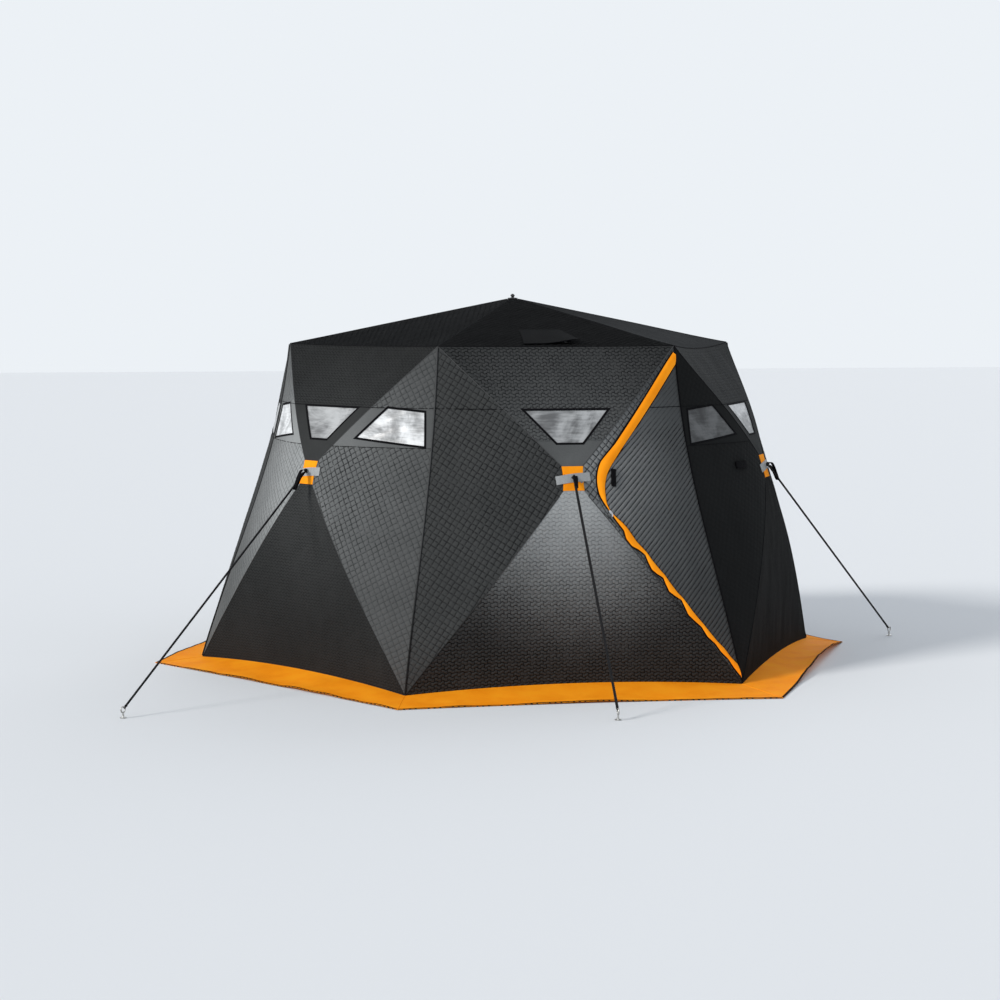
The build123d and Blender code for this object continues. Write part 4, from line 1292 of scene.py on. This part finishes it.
grey_webbing = webbing_finish(
    "grey_webbing", (0.46, 0.475, 0.48, 1.0), (0.27, 0.28, 0.285, 1.0), 0.4, 0.003, gloss=0.4
)
for wall in wall_names:
    first = wall == "front"
    out = turned([chord_normal], wall)[0]
    grid = settled_grid(hub_cloth(patch_width, patch_height, patch_top, 0.0, 0.07, 21, 19), wall)
    patch = piece(
        wall + "_hub_patch", [blanket(grid, patch_thickness, out)], orange_cloth, "hut",
        ["hub_patches"] if first else [],
    )
    grid = settled_grid(hub_cloth(strap_width, strap_height, strap_top, strap_tilt, 0.0, 11, 29), wall)
    strap = piece(
        wall + "_hub_strap", [blanket(grid, strap_thickness, out)], grey_webbing, "hut",
        ["hub_straps"] if first else [],
    )

rope_radius = 0.006
front_rope_radius = 0.0075
rope_lay = 0.034
anchor_places = {
    "front": (0.0, -2.48), "front_right": (2.42, 0.06), "rear": (0.0, 2.48), "front_left": (-2.405, -1.911),
}
ring_radius = 0.015
ring_bar = 0.004
ring_height = 0.043
small_knot_radius = 0.008
eye_radius = 0.0062
loop_width = 0.019
loop_thickness = 0.0018


def trefoil(middle, size, bar, aim):
    """A pulled-up overhand knot round a point, its flat side facing along a direction."""
    aim = np.array(aim) / np.linalg.norm(aim)
    first = np.cross(aim, (0.2, 0.3, 0.93))
    first /= np.linalg.norm(first)
    second = np.cross(aim, first)
    unit = (size - bar) / 3.0
    path = []
    for i in range(60):
        t = 2 * math.pi * i / 60
        over = first * (math.sin(t) + 2 * math.sin(2 * t))
        up = second * (math.cos(t) - 2 * math.cos(2 * t))
        path.append(middle + unit * (over + up) - unit * 1.6 * aim * math.sin(3 * t))
    return tube(path, bar, 10, closed=True)


def twisted(start_point, end_point, radius, lay):
    """Three strands laid round each other from one point to another."""
    start_point, end_point = np.array(start_point), np.array(end_point)
    run = end_point - start_point
    length = np.linalg.norm(run)
    along = run / length
    first = np.cross(along, (0.0, 0.0, 1.0))
    first /= np.linalg.norm(first)
    second = np.cross(along, first)
    count = int(length / lay * 9)
    skins = []
    for strand in range(3):
        path = []
        for i in range(count + 1):
            share = i / count
            angle = 2 * math.pi * (share * length / lay + strand / 3)
            aside = first * math.cos(angle) + second * math.sin(angle)
            path.append(start_point + run * share + aside * radius * 0.5)
        skins.append(tube(path, radius * 0.56, 6))
    return skins


cord_black = webbing_finish("cord_black", (0.012, 0.012, 0.013, 1.0), (0.004, 0.004, 0.005, 1.0), 0.6, 0.0016)
knot_middles = {
    wall: turned([hub + chord_normal * knot_out], wall)[0] for wall in wall_names
}
knots = [
    trefoil(knot_middles[wall], knot_radius, 0.0042, turned([chord_normal], wall)[0]) for wall in wall_names
]
piece("hub_cord_knots", knots, cord_black, "hut", ["hub_knots"])


def smooth_path(points, count):
    """A smooth line through a few points."""
    points = [np.array(p, dtype=float) for p in points]
    points = [2 * points[0] - points[1]] + points + [2 * points[-1] - points[-2]]
    line = []
    spans = len(points) - 3
    for i in range(count):
        place = min(i / (count - 1) * spans, spans - 1e-9)
        k = int(place)
        t = place - k
        p0, p1, p2, p3 = points[k:k + 4]
        square = 2 * p0 - 5 * p1 + 4 * p2 - p3
        cube = 3 * p1 - p0 - 3 * p2 + p3
        line.append(0.5 * (2 * p1 + (p2 - p0) * t + square * t * t + cube * t ** 3))
    return np.array(line)


def ring_axes(wall):
    """The middle of an anchor's ring, the rope's pull on it, and the ways through the ring and up in it."""
    ring_middle = np.array([*anchor_places[wall], ring_height])
    pull = knot_middles[wall] - ring_middle
    pull = pull / np.linalg.norm(pull)
    hole_way = np.cross((0.0, 0.0, 1.0), pull)
    hole_way /= np.linalg.norm(hole_way)
    return ring_middle, pull, hole_way, np.cross(hole_way, pull)


# Each pull loop's line out from its knot and up: drawn towards the rope, or hanging where there is none
loop_roped = [
    (0.008, 0.004), (0.04, 0.009), (0.066, -0.012), (0.09, -0.05), (0.112, -0.088),
    (0.106, -0.096), (0.078, -0.062), (0.05, -0.026), (0.024, -0.008), (0.006, -0.01),
]
loop_short = [
    (0.008, 0.004), (0.024, 0.008), (0.036, -0.006), (0.042, -0.034), (0.044, -0.05),
    (0.038, -0.056), (0.03, -0.04), (0.022, -0.018), (0.014, -0.008), (0.006, -0.01),
]
loop_hanging = [
    (0.006, 0.004), (0.022, 0.006), (0.032, -0.02), (0.036, -0.07), (0.038, -0.125),
    (0.033, -0.131), (0.028, -0.1), (0.024, -0.055), (0.016, -0.02), (0.004, -0.01),
]
loop_shapes = {"front": loop_short, "rear_right": loop_hanging, "rear_left": loop_hanging}
rope_skins = []
loop_skins = []
for wall in wall_names:
    middle = knot_middles[wall]
    outward = turned([(0.0, -1.0, 0.0)], wall)[0]
    if wall in anchor_places:
        ring_middle, pull, hole_way, upright = ring_axes(wall)
        small_knot = ring_middle + pull * (ring_radius + ring_bar + small_knot_radius + cloth_gap)
        radius = front_rope_radius if wall == "front" else rope_radius
        rope_skins += twisted(middle - pull * 0.006, small_knot, radius, rope_lay)
        rope_skins.append(trefoil(small_knot, small_knot_radius, 0.0028, pull))
        bar_middle = ring_middle + pull * ring_radius
        eye = []
        for i in range(24):
            angle = 2 * math.pi * i / 24
            along = pull * (eye_radius * math.cos(angle) + 0.0016)
            through = hole_way * eye_radius * math.sin(angle)
            eye.append(bar_middle + along + through + upright * 0.0012 * math.sin(2 * angle))
        rope_skins.append(tube(eye, 0.0022, 8, closed=True))
        outward = -np.array([pull[0], pull[1], 0.0])
        outward /= np.linalg.norm(outward)
    shape = loop_shapes.get(wall, loop_roped)
    side = np.cross((0.0, 0.0, 1.0), outward)
    path = smooth_path([middle + outward * out_way - downward * drop for out_way, drop in shape], 46)
    path = path + side * 0.004
    face = np.cross(unit_ways(path), side)
    across = np.tile(side, (len(path), 1))
    loop_skins.append(ribbon(path, across, face, loop_width, loop_thickness, 0.0006, 4))
piece("guy_cords", rope_skins, cord_black, "hut", ["guy_ropes"])
piece("hub_loops", loop_skins, black_tape, "hut", ["hub_pull_loops"])


# Ice anchors: zinc plated screws with a washer and an eye, driven in until the washer meets the ice.
# Each guy rope is tied to the eye of its own one, which leans with the rope's pull.
shank_radius = 0.0045
washer_radius = 0.017
washer_height = 0.005


def lathe(profile, middle, sides=28):
    """A turned shape: distances from its upright axis and heights, over a point of the ice."""
    angles = [2 * math.pi * i / sides for i in range(sides)]
    x, y, z = middle
    return loft([
        [(x + reach * math.cos(angle), y + reach * math.sin(angle), z + height) for angle in angles]
        for reach, height in profile
    ])


anchor_steel = metal_finish("anchor_steel", (0.55, 0.55, 0.54, 1.0), (0.36, 0.35, 0.33, 1.0), 0.28, 0.00015)
anchor_skins = []
washer = [
    (0.002, 0.0004), (washer_radius - 0.0012, 0.0004), (washer_radius, 0.0014),
    (washer_radius, washer_height - 0.0016), (washer_radius - 0.0016, washer_height),
    (shank_radius + 0.0015, washer_height), (shank_radius + 0.0003, washer_height + 0.002),
    (shank_radius, washer_height + 0.004), (shank_radius, ring_height - ring_radius),
    (shank_radius * 0.6, ring_height - ring_radius + 0.002),
]
thread_radius = shank_radius + 0.0001
for wall, (x, y) in anchor_places.items():
    ring_middle, pull, hole_way, upright = ring_axes(wall)
    ring = []
    for i in range(40):
        angle = 2 * math.pi * i / 40
        ring.append(ring_middle + ring_radius * (pull * math.cos(angle) + upright * math.sin(angle)))
    anchor_skins.append(tube(ring, ring_bar * 0.94, 12, closed=True))
    anchor_skins.append(lathe(washer, (x, y, 0.0)))
    thread = []
    for i in range(50):
        over, up = thread_radius * math.cos(i * 0.7), thread_radius * math.sin(i * 0.7)
        thread.append((x + over, y + up, washer_height + 0.003 + i * 0.00028))
    anchor_skins.append(tube(thread, 0.0008, 5))
piece("anchor_screws", anchor_skins, anchor_steel, "hut", ["ice_anchors"])


# Snow skirt: a strip of orange coated cloth sewn to each wall's lower edge, laid out over the ice and bound
# with black tape. It lies loosely, and curls up most on the front right.
skirt_corner = 2.155
skirt_out = skirt_corner * math.sqrt(0.75)
skirt_half = skirt_corner * 0.5
hem_tape = 0.011
skirt_thickness = 0.0022
# How far the hem's corner at each wall's right end lies from where the cut of the cloth would put it
hem_shifts = {
    "front_left": (0.05, -0.11), "front": (-0.07, -0.18), "front_right": (-0.12, -0.15),
    "rear_left": (0.02, -0.12),
}
skirt_curls = {
    "front": 0.0, "front_right": 0.05, "rear_right": 0.012, "rear": 0.008, "rear_left": 0.02,
    "front_left": 0.004,
}
wall_foot_out = -low_right.y
skirt_run = skirt_out - wall_foot_out


def skirt_spot(over, out, wall):
    """A point of a wall's skirt: its share of the half width, and its share of the way out to the hem."""
    arch = edge_height + edge_rise * (1 - over * over)
    start_out = wall_foot_out + 0.0006
    x = over * (half_foot + (skirt_half - half_foot) * out)
    y = -(start_out + (skirt_out - start_out) * out)
    spot = turned([(x, y, 0.0)], wall)[0]
    right_share = (1.0 + over) / 2.0
    for end, share in ((wall, right_share), (wall_names[wall_names.index(wall) - 1], 1.0 - right_share)):
        spot[:2] += np.array(hem_shifts.get(end, (0.0, 0.0))) * share ** 1.5 * out
    rough = noise.noise((spot[0] * 3.1, spot[1] * 3.1, 0.4))
    rough += 0.5 * noise.noise((spot[0] * 8.0, spot[1] * 8.0, 2.0))
    ends = 1.0 - abs(over) ** 6
    wave = 0.013 * max(0.0, rough + 0.25) * out * (1.3 - 0.6 * out)
    curl = skirt_curls[wall] * ends * out * out * (0.55 + 0.45 * math.sin(over * 3.0 + 0.9))
    height = arch * (1 - out) ** 1.7 + wave + curl + 0.0032
    return np.array([spot[0], spot[1], height])


skirt_rows, skirt_columns = 13, 65
hem_skins, ridge_skins = [], []
for wall in wall_names:
    grid = np.array([
        [skirt_spot(over, out, wall) for over in np.linspace(-1, 1, skirt_columns)]
        for out in np.linspace(0, 1, skirt_rows)
    ])
    skirt = piece(
        wall + "_skirt", [blanket(grid, skirt_thickness, -downward)], orange_cloth, "hut",
        ["snow_skirt"] if wall == "front" else [],
    )
    edge, inner = [
        np.array([skirt_spot(over, out, wall) for over in np.linspace(-1, 1, 81)])
        for out in (1.0, 1.0 - hem_tape / skirt_run)
    ]
    lifts = ((inner, 0.0012), (edge, 0.0008), (edge, -0.0028), (inner, -0.003))
    hem_skins.append(loft(np.stack([line - downward * lift for line, lift in lifts], axis=1)))
    ridge = np.array([skirt_spot(1.0, out, wall) for out in np.linspace(0, 1, 16)])
    ridge_skins.append(tube(ridge + downward * 0.0004, 0.0024, 8))
piece("skirt_hem_tape", hem_skins, black_tape, "hut", ["skirt_hem"])
piece("skirt_corner_seams", ridge_skins, orange_cloth, "hut")


# Roof vent: a net in the hole, under a flap of roof cloth that is sewn down on its upper and left sides.
# Its lower edge is hemmed with tape, and stands open at the right.
flap_upper, flap_lower = 0.79, 1.115
flap_upper_ends = (-0.141, 0.1)
flap_lower_ends = (-0.18, 0.135)
flap_lift = 0.027
flap_rows, flap_columns = 19, 31
grid = np.zeros((flap_rows, flap_columns, 3))
for i, down in enumerate(np.linspace(0, 1, flap_rows)):
    for j, over in enumerate(np.linspace(0, 1, flap_columns)):
        left = flap_upper_ends[0] + (flap_lower_ends[0] - flap_upper_ends[0]) * down ** 1.6
        right = flap_upper_ends[1] + (flap_lower_ends[1] - flap_upper_ends[1]) * down
        x = left + (right - left) * over
        out = flap_upper + (flap_lower - flap_upper) * down - 0.008 * math.sin(over * math.pi) * down
        rise_share = down ** 1.25 * (0.12 + 0.88 * float(step(over, 0.35, 1.0)))
        wrinkle = 0.003 * noise.noise((x * 16, out * 12, 3.0)) * down
        grid[i, j] = on_roof(x, out, 0.0036 + flap_lift * rise_share + wrinkle * rise_share + 0.002 * down)
spots = settled_grid(grid, "front", True)
flap = piece(
    "vent_flap", [blanket(spots, 0.003, roof_flat.normal)], roof_cloth, "hut",
    ["roof_vent_flap"],
)
# The flap's tone of 0.55 is painted shade, as on the front roof panel it lies on
mark_cloth(flap.data, 0.55, 0.0, 0.0, np.tile([0.5, 0.5, 1.0], (len(flap.data.vertices), 1)))
lip = spots[-1] + np.array(roof_flat.normal) * -0.001
piece("vent_flap_hem", [tube(lip, 0.0026, 8)], black_tape, "hut")

net_material, start, shader, place = finish("vent_net")
mesh_waves = [start.maths("SINE", place.part(number) * 2600.0) for number in (0, 1)]
threads = start.maths("MAXIMUM", *mesh_waves).between(0.2, 0.5)
feed(start, shader, {
    "Base Color": threads.blend((0.004, 0.004, 0.004, 1.0), (0.03, 0.03, 0.032, 1.0)),
    "Roughness": 0.7 - threads * 0.15,
    "Alpha": 0.45 + threads * 0.55,
    "Normal": bumped(start, threads, 0.0004, 0.6),
})
net = np.array([
    [on_roof(x, out, -0.0038 - 0.004 * math.sin(math.pi * i / 10) * math.sin(math.pi * j / 10))
     for i, x in enumerate(np.linspace(-0.1296, 0.0846, 11))]
    for j, out in enumerate(np.linspace(0.8504, 1.0596, 11))
])
net_piece = piece(
    "vent_net_cloth", [blanket(net, 0.0008, roof_flat.normal)], net_material, "hut",
    ["roof_vent_screen"],
)


# Peak: a moulded cap screwed down over the roof's hub, with a knob to lift the hut by.
# It is black nylon with a spark finish, rubbed paler in places.
def plastic_finish(name, colour, pale, rough):
    """Moulded nylon: a fine spark texture, with rubbed paler patches."""
    material, start, shader, place = finish(name)
    rub = grain(start, place, 45.0, 3.0, 0.6)
    feed(start, shader, {
        "Base Color": rub.between(0.45, 0.8).blend(colour, pale),
        "Roughness": rough + rub * 0.2,
        "Normal": bumped(start, grain(start, place, 1400.0, 1.0), 0.0003, 0.5),
    })
    return material


moulded_plastic = plastic_finish("moulded_plastic", (0.018, 0.018, 0.02, 1.0), (0.05, 0.05, 0.053, 1.0), 0.38)
cap_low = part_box("roof_peak_cap")[0][2]
cap_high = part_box("roof_peak_cap")[1][2]
cap_profile = [
    (0.004, 0.0), (0.0285, 0.0), (0.03, 0.0012), (0.03, 0.0042), (0.0285, 0.0056), (0.016, 0.0064),
    (0.0085, 0.0084), (0.0075, 0.0105), (0.009, 0.0128), (0.0122, 0.0155), (0.013, 0.0185),
    (0.0124, 0.0215), (0.0095, 0.0248), (0.0045, cap_high - cap_low - 0.0002),
]
cap = lathe(cap_profile, (0.0, 0.0, cap_low + 0.0002), 40)
piece("peak_cap", [cap], moulded_plastic, "hut", ["roof_peak_cap"])


# Inside: solid fibreglass poles bow between their aluminium ferrules and the corner brackets. Those of the
# walls press the cloth out, and those of the roof lie almost straight under it.
pole_radius = 0.0055
wall_pole_bow = 0.03
roof_pole_bow = 0.004


def solids_of(node):
    """The corner points of each separate solid of a CAD node."""
    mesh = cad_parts[node].data
    spots = [tuple(round(c, 4) for c in v.co) for v in mesh.vertices]
    parent = {spot: spot for spot in spots}

    def root(spot):
        while parent[spot] != spot:
            spot = parent[spot]
        return spot

    for face in mesh.polygons:
        for number in face.vertices:
            parent[root(spots[number])] = root(spots[face.vertices[0]])
    groups = {}
    for spot in parent:
        groups.setdefault(root(spot), []).append(spot)
    return [np.array(points) for points in groups.values()]


def pole_skin(points, lift_way, bow):
    """A pole in place of a straight bar, bowed towards the cloth between its two sockets."""
    middle = points.mean(axis=0)
    along = np.linalg.svd(points - middle)[2][0]
    run = (points - middle) @ along
    path = middle + np.linspace(run.min(), run.max(), 41)[:, None] * along
    bend = lift_way - along * lift_way.dot(along)
    bend /= np.linalg.norm(bend)
    shares = np.linspace(0.0, 1.0, 41)[:, None]
    return tube(path + bend * bow * np.sin(math.pi * shares) ** 2, pole_radius, 12)


fibreglass, start, shader, place = finish("fibreglass")
drawn_way = start.node("ShaderNodeMapping", {}, {"Vector": place, "Scale": (160.0, 160.0, 9.0)})
fibres = grain(start, drawn_way, 1.0, 3.0, 0.6)
feed(start, shader, {
    "Base Color": fibres.between(0.3, 0.7).blend((0.035, 0.035, 0.038, 1.0), (0.075, 0.075, 0.08, 1.0)),
    "Roughness": 0.28 + fibres * 0.2,
    "Normal": bumped(start, fibres, 0.0003, 0.5),
    "Coat Weight": 0.3,
})
for wall in wall_names:
    skins = []
    for points in solids_of(wall + "_poles"):
        middle = points.mean(axis=0)
        skins.append(pole_skin(points, np.array([middle[0], middle[1], 0.0]), wall_pole_bow))
    piece(wall + "_bowed_poles", skins, fibreglass, "hut", [wall + "_poles"])
skins = [pole_skin(points, np.array([0.0, 0.0, 1.0]), roof_pole_bow) for points in solids_of("roof_poles")]
piece("roof_bowed_poles", skins, fibreglass, "hut", ["roof_poles"])


# Hubs, brackets and ferrules: the CAD solids themselves, in better materials. Hubs and brackets are moulded
# nylon, and each ferrule is an aluminium sleeve pressed on a pole's end.
ferrule_metal = metal_finish("ferrule_metal", (0.6, 0.61, 0.63, 1.0), (0.42, 0.43, 0.45, 1.0), 0.3, 0.0002)
for node, material in (
    ("wall_hubs", moulded_plastic), ("roof_hub", moulded_plastic), ("eave_brackets", moulded_plastic),
    ("foot_brackets", moulded_plastic), ("pole_ferrules", ferrule_metal),
):
    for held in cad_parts[node].material_slots:
        held.material = material
